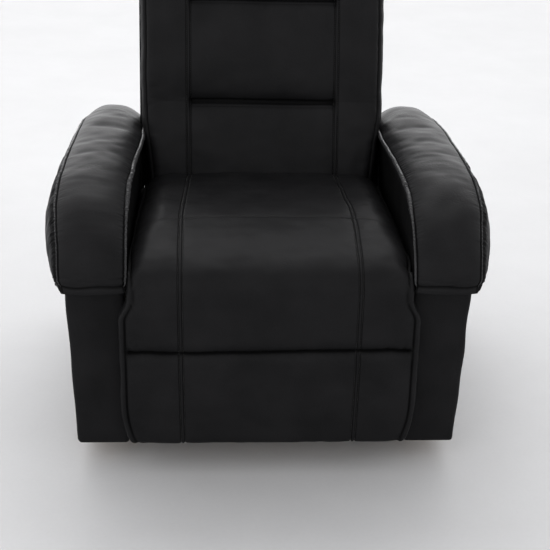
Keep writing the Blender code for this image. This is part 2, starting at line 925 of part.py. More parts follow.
def build_front_roll():
    """The quarter round of foam between seat and footrest, which folds as the footrest opens."""
    base_z = hinge_height - pad_hinge_gap + fit_gap
    centre = Vector((0, hinge_y - fit_gap, base_z))
    radius_y = pad_thickness - fit_gap
    radius_z = seat_top - roll_drop - base_z
    turns = [math.radians(90.0) * step / (2 * arc_steps) for step in range(2 * arc_steps + 1)]
    outline = [(centre.y, centre.z)]
    outline += [
        (centre.y - radius_y * math.sin(turn), centre.z + radius_z * math.cos(turn))
        for turn in turns
    ]
    roll = sheet_outline("front_roll", [outline], -seat_half, seat_half)
    bevel(roll, pad_hinge_gap, 2)
    smooth(roll)
    finish(roll, leather, seat)


def build_seat_plate(label, side):
    """A steel side plate under the seat rail, with rivets for every link that turns on it."""
    top = seat_rail_bottom - fit_gap
    ears = [
        (front_stand_pin, ear_radius),
        (long_pivot, ear_radius),
        (short_pivot, ear_radius),
        (rear_stand_pin, ear_radius),
        (back_pivot, ear_radius),
    ]
    outline = hull_points(ears)
    plate = link_sheet(f"seat_plate_{label}", outline, [], plate_layer, side, seat, black_steel)
    low, high = span(side, seat_rail_outer - seat_rail_width, plate_layer + sheet / 2)
    flange = operand_block(
        f"seat_flange_{label}",
        (low, seat_frame_front + seat_rail_width, top - sheet),
        (high, seat_frame_rear - seat_rail_width, top),
        black_steel,
        seat,
    )
    heads = (
        ("long", long_pivot, swing_layer),
        ("short", short_pivot, swing_layer),
        ("front", front_stand_pin, stand_layer + sheet),
        ("rear", rear_stand_pin, stand_layer + sheet),
        ("back", back_pivot, stand_layer + sheet),
    )
    outer = plate_layer + sheet
    rivets = [
        new_rivet(f"{plate.name}_rivet_{end}", seat, place, side, head, plate_layer, outer)
        for end, place, head in heads
    ]
    join_group(plate, [flange, *rivets])


# Footrest and its linkage
def pad_shape(place):
    """The footrest's face swells between its seams and is drawn in at them."""
    front = hinge_y - pad_thickness
    depth = (hinge_y - place.y) / pad_thickness
    low = pad_bottom
    high = hinge_height - pad_hinge_gap
    rise = (place.z - low) / (high - low)
    across = min(abs(place.x) / seat_half, 1.0)
    groove = pad_swell * max(
        dip(abs(place.x), seam_spacing / 2, seam_width), dip(place.z, pad_tuck_height, seam_width)
    )
    taper = pad_swell * across ** 4 + pad_swell * (2 * rise - 1) ** 4 * (1 - rise)
    place.y += depth * (groove + taper)
    place.y = max(place.y, front)
    place.x *= 1 + pad_side_swell / seat_half * math.sin(math.pi * min(max(rise, 0.0), 1.0))
    return place


def build_footrest():
    """The footrest's padded face, its board and the two steel brackets behind it."""
    pad_top = hinge_height - pad_hinge_gap
    tuck = (pad_tuck_height - pad_bottom) / (pad_top - pad_bottom)
    margin = pad_tuck_margin / (pad_top - pad_bottom)
    rise_shares = (0.06, 0.3, tuck - margin, tuck, tuck + margin, 0.8)
    soft_block(
        "footrest_pad",
        (-seat_half, hinge_y - pad_thickness, pad_bottom),
        (seat_half, hinge_y - fit_gap, pad_top),
        pad_edge_radius,
        (seam_shares(seat_half), (0.5,), rise_shares),
        pad_shape,
        leather,
        footrest,
        flat=((1, 1), (2, 1)),
    )
    new_block(
        "footrest_board",
        (board_inset - seat_half, hinge_y, pad_bottom + board_rise),
        (seat_half - board_inset, hinge_y + board_thickness, board_top),
        timber,
        footrest,
        timber_edge,
    )
    for label, side in sides.items():
        build_footrest_bracket(label, side)


def build_footrest_bracket(label, side):
    """A steel angle on the board, with an ear and a rivet for each bar."""
    back = hinge_y + board_thickness + fit_gap
    web = [
        (Vector((0, back + bracket_rib / 2, bracket_bottom + bracket_rib / 2)), bracket_rib / 2),
        (Vector((0, back + bracket_rib / 2, bracket_top - bracket_rib / 2)), bracket_rib / 2),
        (upper_pin, link_radius),
        (lower_pin, link_radius),
    ]
    name = f"footrest_bracket_{label}"
    outline = hull_points(web)
    bracket = link_sheet(name, outline, [], swing_layer, side, footrest, black_steel)
    low, high = span(side, swing_layer + sheet / 2 - flange_width, swing_layer + sheet / 2)
    flange = operand_block(
        f"footrest_flange_{label}",
        (low, back, bracket_bottom),
        (high, back + sheet, bracket_top),
        black_steel,
        footrest,
    )
    outer = swing_layer + sheet
    rivets = [
        new_rivet(f"{name}_rivet_{end}", footrest, place, side, bar_layer, swing_layer, outer)
        for end, place in (("upper", upper_pin), ("lower", lower_pin))
    ]
    join_group(bracket, [flange, *rivets])


def build_linkage(label, side):
    """Two swings hung from the seat plate and two bars that carry the footrest's bracket."""
    hole = pin_radius + pivot_gap
    long_link = link_sheet(
        f"long_swing_{label}",
        strap_points([long_pivot, long_end], link_radius),
        [(long_pivot, hole)],
        swing_layer,
        side,
        long_swing,
    )
    outer = swing_layer + sheet
    rivets = [
        new_rivet(f"{long_link.name}_rivet_{end}", long_swing, place, side, bar_layer, swing_layer, outer)
        for end, place in (("middle", cross_pin), ("end", long_end))
    ]
    join_group(long_link, rivets)
    short_link = link_sheet(
        f"short_swing_{label}",
        hull_points(
            [
                (short_pivot, link_radius),
                (tube_centre, link_radius + sheet),
                (short_end, link_radius),
            ]
        ),
        [(short_pivot, hole), (tube_centre, tube_radius + fit_gap)],
        swing_layer,
        side,
        short_swing,
    )
    rivet = new_rivet(
        f"{short_link.name}_rivet", short_swing, short_end, side, bar_layer, swing_layer, outer
    )
    join_group(short_link, [rivet])
    link_sheet(
        f"upper_bar_{label}",
        strap_points([upper_pin, short_end], link_radius),
        [(upper_pin, hole), (cross_pin, hole), (short_end, hole)],
        bar_layer,
        side,
        upper_bar,
    )
    link_sheet(
        f"lower_bar_{label}",
        strap_points([lower_pin, long_end], link_radius),
        [(lower_pin, hole), (long_end, hole)],
        bar_layer,
        side,
        lower_bar,
    )


def build_torque_tube():
    """The round tube that makes the left and right short swings turn together."""
    end = swing_layer + sheet
    tube = new_cylinder("torque_tube", tube_centre, tube_radius, -end, end, parts)
    bore = new_cylinder(
        "torque_tube_bore", tube_centre, tube_radius - tube_wall, -2 * end, 2 * end, cutters
    )
    smooth(tube)
    finish(tube, black_steel, short_swing)
    hide_cutter(bore, short_swing)
    boolean(tube, bore, "DIFFERENCE")


# Backrest, modelled upright about its pivot and leaned by its empty
upright_body = {"empty": backrest["empty"], "origin": Vector((0, 0, 0))}


def back_shape(place):
    """The back's face swells between its tucks and seams, and its foot narrows between the arms."""
    depth = max(-place.y / back_front, 0.0)
    across = min(abs(place.x) / back_half, 1.0)
    middle = 1 - across * across
    rise = (place.z - back_start) / (back_length - back_start)
    swell = back_crown * middle * math.sin(math.pi * min(max(rise, 0.0), 1.0))
    groove = max(
        back_tuck_depth * dip(place.z, lumbar_height, back_tuck_width),
        back_tuck_depth * dip(place.z, head_height, back_tuck_width),
        seam_depth * dip(abs(place.x), seam_spacing / 2, seam_width),
    )
    place.y += depth * (groove - swell)
    foot = 1 - min(max((place.z - back_start) / back_foot_height, 0.0), 1.0)
    place.x *= 1 - back_foot_taper / back_half * foot * foot * min(depth, 1.0)
    return place


def build_backrest():
    """The backrest's cushion, frame, webbing and rear cover."""
    span_z = back_length - back_start
    lumbar = (lumbar_height - back_start) / span_z
    head = (head_height - back_start) / span_z
    step = back_tuck_width / span_z
    rise_shares = (
        0.06,
        lumbar - step,
        lumbar,
        lumbar + step,
        (lumbar + head) / 2,
        head - step,
        head,
        head + step,
        0.93,
    )
    soft_block(
        "back_cushion",
        (-back_half, -back_front, back_start),
        (back_half, back_frame_front - web_thickness - 2 * fit_gap, back_length),
        back_edge_radius,
        (seam_shares(back_half), (0.5,), rise_shares),
        back_shape,
        leather,
        upright_body,
        flat=((1, 1),),
    )
    frame_rear = back_frame_front + back_frame_depth
    for label, side in sides.items():
        low, high = span(side, upright_outer - upright_width, upright_outer)
        new_block(
            f"back_upright_{label}",
            (low, back_frame_front, back_frame_start),
            (high, frame_rear, back_frame_end),
            timber,
            upright_body,
            timber_edge,
        )
        build_back_bracket(label, side)
    reach = upright_outer - upright_width - fit_gap
    rails = {
        "back_lower_rail": back_frame_start + back_rail_height / 2,
        "back_top_rail": back_frame_end - back_rail_height / 2,
    }
    for name, height in rails.items():
        new_block(
            name,
            (-reach, back_frame_front, height - back_rail_height / 2),
            (reach, frame_rear, height + back_rail_height / 2),
            timber,
            upright_body,
            timber_edge,
        )
    for index in (-1, 0, 1):
        centre = index * web_spacing
        new_block(
            f"back_web_{index + 2}",
            (centre - web_width / 2, back_frame_front - fit_gap - web_thickness, back_frame_start),
            (centre + web_width / 2, back_frame_front - fit_gap, back_frame_end),
            webbing,
            upright_body,
        )
    build_back_cover()


def build_back_bracket(label, side):
    """A steel strap from the back's pivot up the outside of its upright."""
    pivot = Vector((0, 0, 0))
    upper = Vector((0, back_frame_front + back_frame_depth / 2, back_frame_start + sheet))
    end = upper + Vector((0, 0, back_bracket_length - back_frame_start))
    bracket = link_sheet(
        f"back_bracket_{label}",
        strap_points([pivot, upper, end], ear_radius),
        [(pivot, pin_radius + pivot_gap)],
        stand_layer,
        side,
        upright_body,
        black_steel,
    )
    low, high = span(side, stand_layer + sheet / 2, stand_layer + sheet + bolt_height)
    bolts = []
    for index, share in enumerate(bolt_shares):
        place = upper.lerp(end, share)
        bolt = new_cylinder(f"back_bolt_{label}_{index}", place, bolt_radius, low, high, cutters, 6)
        hide_cutter(bolt, upright_body)
        bolts.append(bolt)
    join_group(bracket, bolts)


def build_back_cover():
    """The rear cover: a padded tray, open in front and below, round the back's frame."""
    front = back_frame_front - web_thickness - fit_gap
    mesh = bpy.data.meshes.new("back_cover")
    cage = bmesh.new()
    bmesh.ops.create_cube(cage, size=1.0)
    half = back_half - sheet
    low = Vector((-half, front, back_cover_start))
    high = Vector((half, back_cover_depth, back_cover_end))
    bmesh.ops.scale(cage, vec=high - low, verts=cage.verts)
    bmesh.ops.translate(cage, vec=(low + high) / 2, verts=cage.verts)
    front_face = min(cage.faces, key=lambda face: face.calc_center_median().y)
    bottom = min(cage.faces, key=lambda face: face.calc_center_median().z)
    bmesh.ops.delete(cage, geom=[front_face, bottom], context="FACES_ONLY")
    cage.to_mesh(mesh)
    cage.free()
    cover = bpy.data.objects.new("back_cover", mesh)
    bevel(cover, back_cover_radius, 3)
    shell = cover.modifiers.new("padding", "SOLIDIFY")
    shell.thickness = back_cover_wall
    shell.offset = -1.0
    shell.use_even_offset = True
    smooth(cover)
    finish(cover, leather, upright_body)


for side_label, side_sign in sides.items():
    build_arm(side_label, side_sign)
    build_pillow(side_label, side_sign)
    build_stands(side_label, side_sign)
    build_seat_plate(side_label, side_sign)
    build_linkage(side_label, side_sign)
build_base()
build_seat_frame()
build_springs()
build_seat_cushion()
build_front_roll()
build_footrest()
build_torque_tube()
build_backrest()

joints = {
    "front_stand": front_stand,
    "rear_stand": rear_stand,
    "front_stand_pin": front_stand_pin,
    "rear_stand_pin": rear_stand_pin,
    "front_hinge": front_hinge,
    "long_pivot": long_pivot,
    "short_pivot": short_pivot,
    "cross_pin": cross_pin,
    "long_end": long_end,
    "short_end": short_end,
    "upper_pin": upper_pin,
    "lower_pin": lower_pin,
    "back_pivot": back_pivot,
}
for joint_name, joint_place in joints.items():
    print(f"{joint_name} y {joint_place.y:.5f} z {joint_place.z:.5f}")
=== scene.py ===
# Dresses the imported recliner: leather covers, seams, the finishes of the mechanism, floor and light.
import json
import math

import bpy
import numpy as np
from mathutils import Matrix, Vector


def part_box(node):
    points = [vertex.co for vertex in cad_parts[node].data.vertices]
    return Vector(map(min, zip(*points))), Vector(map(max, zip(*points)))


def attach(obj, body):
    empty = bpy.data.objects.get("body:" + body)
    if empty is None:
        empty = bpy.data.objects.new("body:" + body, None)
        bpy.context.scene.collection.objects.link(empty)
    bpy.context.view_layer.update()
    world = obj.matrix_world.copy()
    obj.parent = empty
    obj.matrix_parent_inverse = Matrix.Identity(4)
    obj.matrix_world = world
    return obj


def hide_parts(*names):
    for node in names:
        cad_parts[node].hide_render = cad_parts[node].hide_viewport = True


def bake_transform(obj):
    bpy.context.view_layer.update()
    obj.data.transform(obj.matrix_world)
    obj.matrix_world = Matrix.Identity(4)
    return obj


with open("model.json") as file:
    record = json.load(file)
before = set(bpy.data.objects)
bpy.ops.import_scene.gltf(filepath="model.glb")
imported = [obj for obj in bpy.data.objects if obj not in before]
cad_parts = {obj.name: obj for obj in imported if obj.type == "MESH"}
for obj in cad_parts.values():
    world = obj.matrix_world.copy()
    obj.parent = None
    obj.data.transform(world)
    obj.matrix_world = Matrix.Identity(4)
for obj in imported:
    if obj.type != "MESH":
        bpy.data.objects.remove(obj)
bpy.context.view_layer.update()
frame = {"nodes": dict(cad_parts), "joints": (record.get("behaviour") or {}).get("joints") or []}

print("stage: frame loaded,", len(frame["nodes"]), "nodes")


# Numbers and grids
def spreadSteps(low, high, steps, centres=(), samples=6000):
    # Places from low to high. The steps are coarse, and fine within a reach of each centre: the places'
    # number per metre is 1/coarse there and 1/fine here. Its running sum is cut into equal parts.
    coarse, *near = steps
    x = np.linspace(low, high, samples)
    density = np.full_like(x, 1 / coarse)
    for centre in centres:
        fine, reach = near
        share = np.exp(-((x - centre) / reach) ** 4)
        density = np.maximum(density, 1 / coarse + (1 / fine - 1 / coarse) * share)
    total = np.concatenate([[0.0], np.cumsum((density[1:] + density[:-1]) / 2 * np.diff(x))])
    count = int(np.ceil(total[-1]))
    return np.interp(np.linspace(0, total[-1], count + 1), total, x)


def hill(distance, width):
    # A soft bump, e to the minus square of distance over width.
    return np.exp(-((distance / width) ** 2))


def creases(distance, rows):
    # A seam's section: soft bumps added up, each row with its height, where it lies and its width.
    return sum(height * hill(distance - middle, width) for height, middle, width in rows)


def easeStep(value, low, high):
    # 0 below low, 1 above high, and 3t2 - 2t3 between them.
    share = np.clip((value - low) / (high - low), 0, 1)
    return share * share * (3 - 2 * share)


def softNoise(points, size, seed, count=20):
    # Sine waves in seeded directions, with lengths near size, added up and scaled to about one.
    dice = np.random.default_rng(seed)
    direction = dice.normal(size=(points.shape[-1], count))
    direction /= np.linalg.norm(direction, axis=0)
    rate = 2 * np.pi / size * dice.uniform(0.6, 1.5, count)
    phase = dice.uniform(0, 2 * np.pi, count)
    return np.sin(points @ (direction * rate) + phase).sum(-1) / math.sqrt(count)


def waves(points, rows):
    # Soft noises added up, each row with its size, seed and height.
    return sum(softNoise(points, size, seed) * height for size, seed, height in rows)


def highest(*fields):
    # The largest of several fields at each point, all spread to one shape.
    return np.maximum.reduce(np.broadcast_arrays(*fields))


def runAlong(line):
    # The distance from a line's first point to each of its points.
    return np.concatenate([[0.0], np.cumsum(np.linalg.norm(np.diff(line, axis=0), axis=1))])


def pointsAt(places, run, line):
    # The points of a line at given distances along it, by straight interpolation.
    return np.stack([np.interp(places, run, column) for column in np.asarray(line, float).T], -1)


def evenPair(out, inner, count):
    # Two lines with as many points as each other, taken at even distances along the first.
    run = runAlong(out)
    places = np.linspace(0, run[-1], count)
    return places, pointsAt(places, run, out), pointsAt(places, run, inner)


def smoothPath(knots, count):
    # A Catmull-Rom curve through the knots: each stretch is the cubic with the slopes of its neighbours.
    knots = np.asarray(knots, float)
    p = np.vstack([2 * knots[0] - knots[1], knots, 2 * knots[-1] - knots[-2]])
    t = np.linspace(0, len(knots) - 1 - 1e-9, count)
    i = t.astype(int)
    f = (t - i)[:, None]
    a, b, c, d = p[i], p[i + 1], p[i + 2], p[i + 3]
    square, cube = 2 * a - 5 * b + 4 * c - d, 3 * b - a - 3 * c + d
    return 0.5 * (2 * b + (c - a) * f + square * f ** 2 + cube * f ** 3)


def gridNormals(grid):
    # The cross product of the grid's two slopes at each point, made one long.
    normal = np.cross(np.gradient(grid, axis=1), np.gradient(grid, axis=0))
    return normal / np.maximum(np.linalg.norm(normal, axis=-1, keepdims=True), 1e-12)


def outwardNormals(grid, centre):
    # The grid's normals, turned so that they lead away from a point inside the piece.
    normal = gridNormals(grid)
    away = ((grid - np.asarray(centre)) * normal).sum(-1)
    return normal if np.median(away) > 0 else -normal


def gridFaces(rows, columns, closedAcross=False):
    # One four-sided face for each cell of a grid of points.
    r = np.arange(rows - 1)[:, None] * columns
    c = np.arange(columns if closedAcross else columns - 1)[None, :]
    d = (c + 1) % columns
    return np.stack([r + c, r + d, r + columns + d, r + columns + c], -1).reshape(-1, 4)


def makeMesh(name, points, faces, material):
    # A mesh object from arrays, shaded smooth.
    mesh = bpy.data.meshes.new(name)
    mesh.from_pydata(np.asarray(points, float).reshape(-1, 3).tolist(), [], faces)
    mesh.shade_smooth()
    mesh.materials.append(material)
    piece = bpy.data.objects.new(name, mesh)
    bpy.context.scene.collection.objects.link(piece)
    return piece


def closedGrid(name, grid, material):
    # A tube of closed rows, with a flat face on its first and last row, and its faces outwards. The
    # volume is the sum over triangles of the box product of their corners, over six: below zero, the
    # faces lead inwards and are turned.
    rows, columns = grid.shape[:2]
    faces = gridFaces(rows, columns, True).tolist()
    faces.append(list(range(columns))[::-1])
    faces.append(list(range((rows - 1) * columns, rows * columns)))
    piece = makeMesh(name, grid, faces, material)
    mesh = piece.data
    mesh.calc_loop_triangles()
    triangles = np.zeros(len(mesh.loop_triangles) * 3, np.int64)
    mesh.loop_triangles.foreach_get("vertices", triangles)
    a, b, c = grid.reshape(-1, 3)[triangles.reshape(-1, 3)].transpose(1, 0, 2)
    if (a * np.cross(b, c)).sum() < 0:
        mesh.flip_normals()
    mesh.update()
    return piece


def markPaintedShade(piece, values):
    # Painted shade at each vertex, mostly from how near it lies to a seam; the leather reads it as darker
    # colour and more roughness.
    attribute = piece.data.attributes.new("seamNear", "FLOAT", "POINT")
    attribute.data.foreach_set("value", np.asarray(values, np.float32).ravel())


def leatherPiece(name, grid, near, under=None):
    # A closed piece of leather from a grid and its underside, which lies far from every seam and gets no
    # painted shade.
    if under is not None:
        grid = np.concatenate([grid, under], axis=1)
        near = np.concatenate([near, np.zeros(under.shape[:2])], axis=1)
    piece = closedGrid(name, grid, leather)
    markPaintedShade(piece, near)
    return piece


# Cloth
clothCommon = {"quality": 7, "mass": 0.3, "pin": 3.0, "frames": 18}


def blendWeights(fine, coarse):
    # The matrix that carries values from coarse places to fine ones, by straight interpolation.
    cell = np.clip(np.searchsorted(coarse, fine, side="right") - 1, 0, len(coarse) - 2)
    share = (fine - coarse[cell]) / (coarse[cell + 1] - coarse[cell])
    weights = np.zeros((len(fine), len(coarse)))
    weights[np.arange(len(fine)), cell] = 1 - share
    weights[np.arange(len(fine)), cell + 1] += share
    return weights


def smoothRows(field, times):
    # Each pass takes a point halfway to the mean of its four neighbours.
    for _ in range(times):
        padded = np.pad(field, ((1, 1), (1, 1), (0, 0)), mode="edge")
        mean = (padded[:-2, 1:-1] + padded[2:, 1:-1] + padded[1:-1, :-2] + padded[1:-1, 2:]) / 4
        field = (field + mean) / 2
    return field


def puffCloth(grid, held, settings):
    # A sheet of cloth that is held at its seams and blown outwards between them. What comes back
    # is how far each point moved, no further than the cap.
    rows, columns = grid.shape[:2]
    sheet = makeMesh("clothTrial", grid, gridFaces(rows, columns).tolist(), bpy.data.materials[0])
    group = sheet.vertex_groups.new(name="held")
    for weight in np.unique(np.round(held, 1)):
        picked = np.nonzero(np.round(held.ravel(), 1) == weight)[0]
        if weight > 0:
            group.add(picked.tolist(), float(weight), "REPLACE")
    cloth = sheet.modifiers.new("cloth", "CLOTH")
    given = cloth.settings
    given.quality = clothCommon["quality"]
    given.mass = clothCommon["mass"]
    given.tension_stiffness = settings["stiffness"]
    given.compression_stiffness = settings["stiffness"]
    given.shear_stiffness = settings["stiffness"] / 3
    given.bending_stiffness = settings["bending"]
    given.vertex_group_mass = "held"
    given.pin_stiffness = clothCommon["pin"]
    given.shrink_min = -settings["slack"]
    given.use_pressure = True
    leading = ((grid - np.array(settings["centre"])) * gridNormals(grid)).sum(-1)
    given.uniform_pressure_force = settings["pressure"] * float(np.sign(np.median(leading)))
    given.effector_weights.gravity = 0.0
    cloth.collision_settings.use_collision = False
    cloth.point_cache.frame_start = 1
    cloth.point_cache.frame_end = clothCommon["frames"]
    for number in range(1, clothCommon["frames"] + 1):
        bpy.context.scene.frame_set(number)
    shaped = sheet.evaluated_get(bpy.context.evaluated_depsgraph_get()).to_mesh()
    moved = np.zeros(rows * columns * 3, np.float32)
    shaped.vertices.foreach_get("co", moved)
    bpy.context.scene.frame_set(1)
    mesh = sheet.data
    bpy.data.objects.remove(sheet, do_unlink=True)
    bpy.data.meshes.remove(mesh)
    shift = moved.reshape(rows, columns, 3).astype(float) - grid
    length = np.linalg.norm(shift, axis=-1, keepdims=True)
    print("  cloth moved at most", round(float(length.max()) * 1000, 1), "mm")
    return shift * np.minimum(1.0, settings["cap"] / np.maximum(length, 1e-9))


def clothShift(shape, coarse, fine, held, settings):
    # Runs the cloth on the coarse grid of a shape, and carries its movement to the fine grid.
    shift = smoothRows(puffCloth(shape(*coarse), held, settings), settings["passes"])
    rowWeights = blendWeights(fine[0], coarse[0])
    columnWeights = blendWeights(fine[1], coarse[1])
    return np.einsum("fr,rcx,gc->fgx", rowWeights, shift, columnWeights, optimize=True)


# Sheets, rings, tubes and stitches
def slabSheet(out, inner, u, half, edge, uMax, underEdge=0.007):
    # The padded sheet over a slab, whose side view runs along out and whose hidden side runs along
    # inner. The coordinate u crosses it: flat, then a quarter turn of radius edge, then down the side.
    # Half width and edge may differ from row to row. The result is the grid, how deep each point lies
    # between the two lines, and its share across.
    rows = (len(out), 1)
    half, edge = (np.broadcast_to(np.asarray(value, float).reshape(-1, 1), rows) for value in (half, edge))
    thick = np.linalg.norm(inner - out, axis=1)[:, None]
    flat = half - edge
    turned = flat + edge * np.pi / 2
    turn = np.clip((np.abs(u) - flat) / edge, 0, np.pi / 2)
    down = np.clip((np.abs(u) - turned) / (uMax - turned), 0, 1)
    x = np.minimum(np.abs(u), flat) + edge * np.sin(turn)
    room = np.clip(thick - edge - underEdge, 0.001, None)
    share = (edge * (1 - np.cos(turn)) + down * room) / thick
    share = np.minimum(share, 1 - underEdge / np.maximum(thick, underEdge * 2) * 0.5)
    grid = np.zeros((len(out), len(u), 3))
    grid[..., 0] = np.sign(u) * x
    grid[..., 1:] = out[:, None, :] + share[..., None] * (inner - out)[:, None, :]
    return grid, share, x / half


def slabReach(half, edge, side):
    # The largest u of a slab sheet.
    return half - edge + edge * np.pi / 2 + side


def makeRing(low, high, radius, sideStep, arcSteps=6):
    # A rounded rectangle between two corners: its points, their outward arrows, and for each point
    # how far along its side it lies, from 0 to 1.
    corners = [(high[0], high[1], 0), (low[0], high[1], 1), (low[0], low[1], 2), (high[0], low[1], 3)]
    points, arrows, shares = [], [], []
    for number, (x, y, quarter) in enumerate(corners):
        inX = x - radius if x == high[0] else x + radius
        inY = y - radius if y == high[1] else y + radius
        turn = (quarter + np.linspace(0, 1, arcSteps + 1)) * np.pi / 2
        arrow = np.stack([np.cos(turn), np.sin(turn)], -1)
        nextX, nextY, _ = corners[(number + 1) % 4]
        length = abs(nextX - x) + abs(nextY - y) - 2 * radius
        count = max(int(length / sideStep), 1)
        part = np.linspace(0, 1, count + 2)[1:-1, None]
        step = np.array([np.sign(nextX - x), np.sign(nextY - y)]) * length
        arc = np.array([inX, inY]) + radius * arrow
        points += [arc, arc[-1] + part * step]
        arrows += [arrow, np.repeat(arrow[-1:], count, axis=0)]
        shares += [np.zeros(len(turn)), part[:, 0]]
    return np.concatenate(points), np.concatenate(arrows), np.concatenate(shares)


def tubeAlong(name, path, outward, profile, material):
    # A profile of (outward, sideways) distances carried along a path. Rows of the profile may
    # change from point to point. Sideways is the cross product of the path's direction and outward.
    tangent = np.gradient(path, axis=0)
    tangent /= np.linalg.norm(tangent, axis=1, keepdims=True)
    outward = outward - (outward * tangent).sum(1, keepdims=True) * tangent
    outward /= np.linalg.norm(outward, axis=1, keepdims=True)
    sideways = np.cross(tangent, outward)
    axes = np.stack([outward, sideways], 1)
    return closedGrid(name, path[:, None, :] + profile @ axes, material)


def resampleLine(path, outward, pitch):
    # The same line with points a pitch apart, and the outward arrows there.
    run = runAlong(path)
    places = np.arange(0, run[-1], pitch)
    return pointsAt(places, run, path), pointsAt(places, run, outward), places


# A stitch from end to end: how far along it each ring lies, and how wide it is there.
stitchRings = np.array([[-0.5, 0.35], [-0.3, 0.95], [0.3, 0.95], [0.5, 0.35]])
seatStitch = {"pitch": 0.0042, "length": 0.0031, "radius": 0.00042, "lift": 0.0001}
backStitch = {"pitch": 0.0046, "length": 0.0033, "radius": 0.00042, "lift": 0.0001}


def stitchRun(lines, settings, name):
    # Thread stitches: one small lens of four rings a pitch apart, laid along each line.
    sides = 6
    size = sides * len(stitchRings)
    turn = np.linspace(0, 2 * np.pi, sides, endpoint=False)
    along = np.repeat(stitchRings[:, 0] * settings["length"], sides)
    wide = np.repeat(stitchRings[:, 1] * settings["radius"], sides)
    base = np.stack([along, *(np.tile(bend(turn), len(stitchRings)) * wide for bend in (np.cos, np.sin))], -1)
    ring = gridFaces(len(stitchRings), sides, True)
    caps = np.array([list(range(sides))[::-1], list(range(size - sides, size))])
    points, faces, start = [], [], 0
    for path, outward in lines:
        places, arrows, _ = resampleLine(path, outward, settings["pitch"])
        tangent = np.gradient(places, axis=0)
        tangent /= np.linalg.norm(tangent, axis=1, keepdims=True)
        arrows /= np.linalg.norm(arrows, axis=1, keepdims=True)
        axes = np.stack([tangent, arrows, np.cross(tangent, arrows)], 1)
        lifted = places[:, None, :] + arrows[:, None, :] * settings["lift"]
        points.append((lifted + np.einsum("vk,nkc->nvc", base, axes)).reshape(-1, 3))
        offsets = (np.arange(len(places)) * size + start)[:, None, None]
        faces += (ring[None] + offsets).reshape(-1, 4).tolist()
        faces += (caps[None] + offsets).reshape(-1, sides).tolist()
        start += len(places) * size
    return makeMesh(name, np.concatenate(points), faces, thread)


def seamColumns(u, seamU, gap):
    # The columns of u that lie a gap to either side of the seams at plus and minus seamU.
    spots = [side * (seamU + step * gap) for side in (-1, 1) for step in (-1, 1)]
    return [int(np.argmin(np.abs(u - spot))) for spot in spots]


# Materials
def fillSocket(material, socket, value):
    # Links another node's output to a socket, or sets a constant there.
    if isinstance(value, bpy.types.NodeSocket):
        material.node_tree.links.new(value, socket)
    else:
        socket.default_value = value


def addNode(material, kind, inputs=None, **values):
    node = material.node_tree.nodes.new(kind)
    for key, value in values.items():
        setattr(node, key, value)
    for key, value in (inputs or {}).items():
        fillSocket(material, node.inputs[key], value)
    return node


def newMaterial(name, roughness, metallic=0.0, **sockets):
    material = bpy.data.materials.new(name)
    material.use_nodes = True
    shader = material.node_tree.nodes["Principled BSDF"]
    for key, value in {"Roughness": roughness, "Metallic": metallic, **sockets}.items():
        shader.inputs[key].default_value = value
    return material, shader


def mathNode(material, operation, first, second):
    return addNode(material, "ShaderNodeMath", {0: first, 1: second}, operation=operation).outputs[0]


def weighted(material, first, firstShare, second, secondShare):
    # Two values, each times its share, added up.
    parts = [mathNode(material, "MULTIPLY", *part) for part in ((first, firstShare), (second, secondShare))]
    return mathNode(material, "ADD", *parts)


def ramp(material, factor, stops):
    # A colour ramp with its stops given as (place, colour).
    node = addNode(material, "ShaderNodeValToRGB", {"Fac": factor})
    edges = node.color_ramp.elements
    while len(edges) < len(stops):
        edges.new(0.5)
    for edge, (place, colour) in zip(edges, stops):
        edge.position = place
        edge.color = (*colour, 1)
    return node.outputs["Color"]


def objectSpot(material, scale=(1, 1, 1)):
    spot = addNode(material, "ShaderNodeTexCoord").outputs["Object"]
    return addNode(material, "ShaderNodeMapping", {"Vector": spot, "Scale": scale}).outputs[0]


def noise(material, spot, scale, detail, more=None, output="Fac"):
    inputs = {"Vector": spot, "Scale": scale, "Detail": detail, **(more or {})}
    return addNode(material, "ShaderNodeTexNoise", inputs).outputs[output]


def waveNode(material, spot, scale, more=None, **values):
    inputs = {"Vector": spot, "Scale": scale, **(more or {})}
    return addNode(material, "ShaderNodeTexWave", inputs, **values).outputs["Fac"]


def vectorMath(material, operation, first, second):
    return addNode(material, "ShaderNodeVectorMath", {0: first, 1: second}, operation=operation).outputs[0]


def rangeNode(material, value, low, high, fromLow=0.0, fromHigh=1.0):
    inputs = {"Value": value, "From Min": fromLow, "From Max": fromHigh, "To Min": low, "To Max": high}
    return addNode(material, "ShaderNodeMapRange", inputs).outputs[0]


def multiplied(material, share, first, second):
    # The first colour times the second, by a share.
    inputs = {0: share, 6: first, 7: second}
    return addNode(material, "ShaderNodeMix", inputs, data_type="RGBA", blend_type="MULTIPLY").outputs[2]


def finishShader(material, shader, colour, rough, heights):
    # Colour, roughness and bumps laid over one another: (height, strength, depth in metres), broad first.
    normal = None
    for height, strength, depth in heights:
        inputs = {"Height": height, "Strength": strength, "Distance": depth}
        if normal is not None:
            inputs["Normal"] = normal
        normal = addNode(material, "ShaderNodeBump", inputs).outputs[0]
    for key, value in (("Base Color", colour), ("Roughness", rough), ("Normal", normal)):
        if value is not None:
            material.node_tree.links.new(value, shader.inputs[key])


leatherLook = {
    "dark": (0.0080, 0.0080, 0.0085), "light": (0.0120, 0.0118, 0.0125),
    "pebble": 620.0, "crease": 95.0, "broad": 11.0, "warp": 0.012,
    "roughLow": 0.44, "roughHigh": 0.49, "specular": 0.05,
    # Painted shade: the colour factor where it is full, and the roughness it adds.
    "seamDarken": 0.25, "seamRough": 0.30,
    "broadBump": (0.22, 0.0016), "creaseBump": (0.35, 0.00035),
    "grainBump": (0.35, 0.00035), "pebbleBump": (0.45, 0.00028),
}


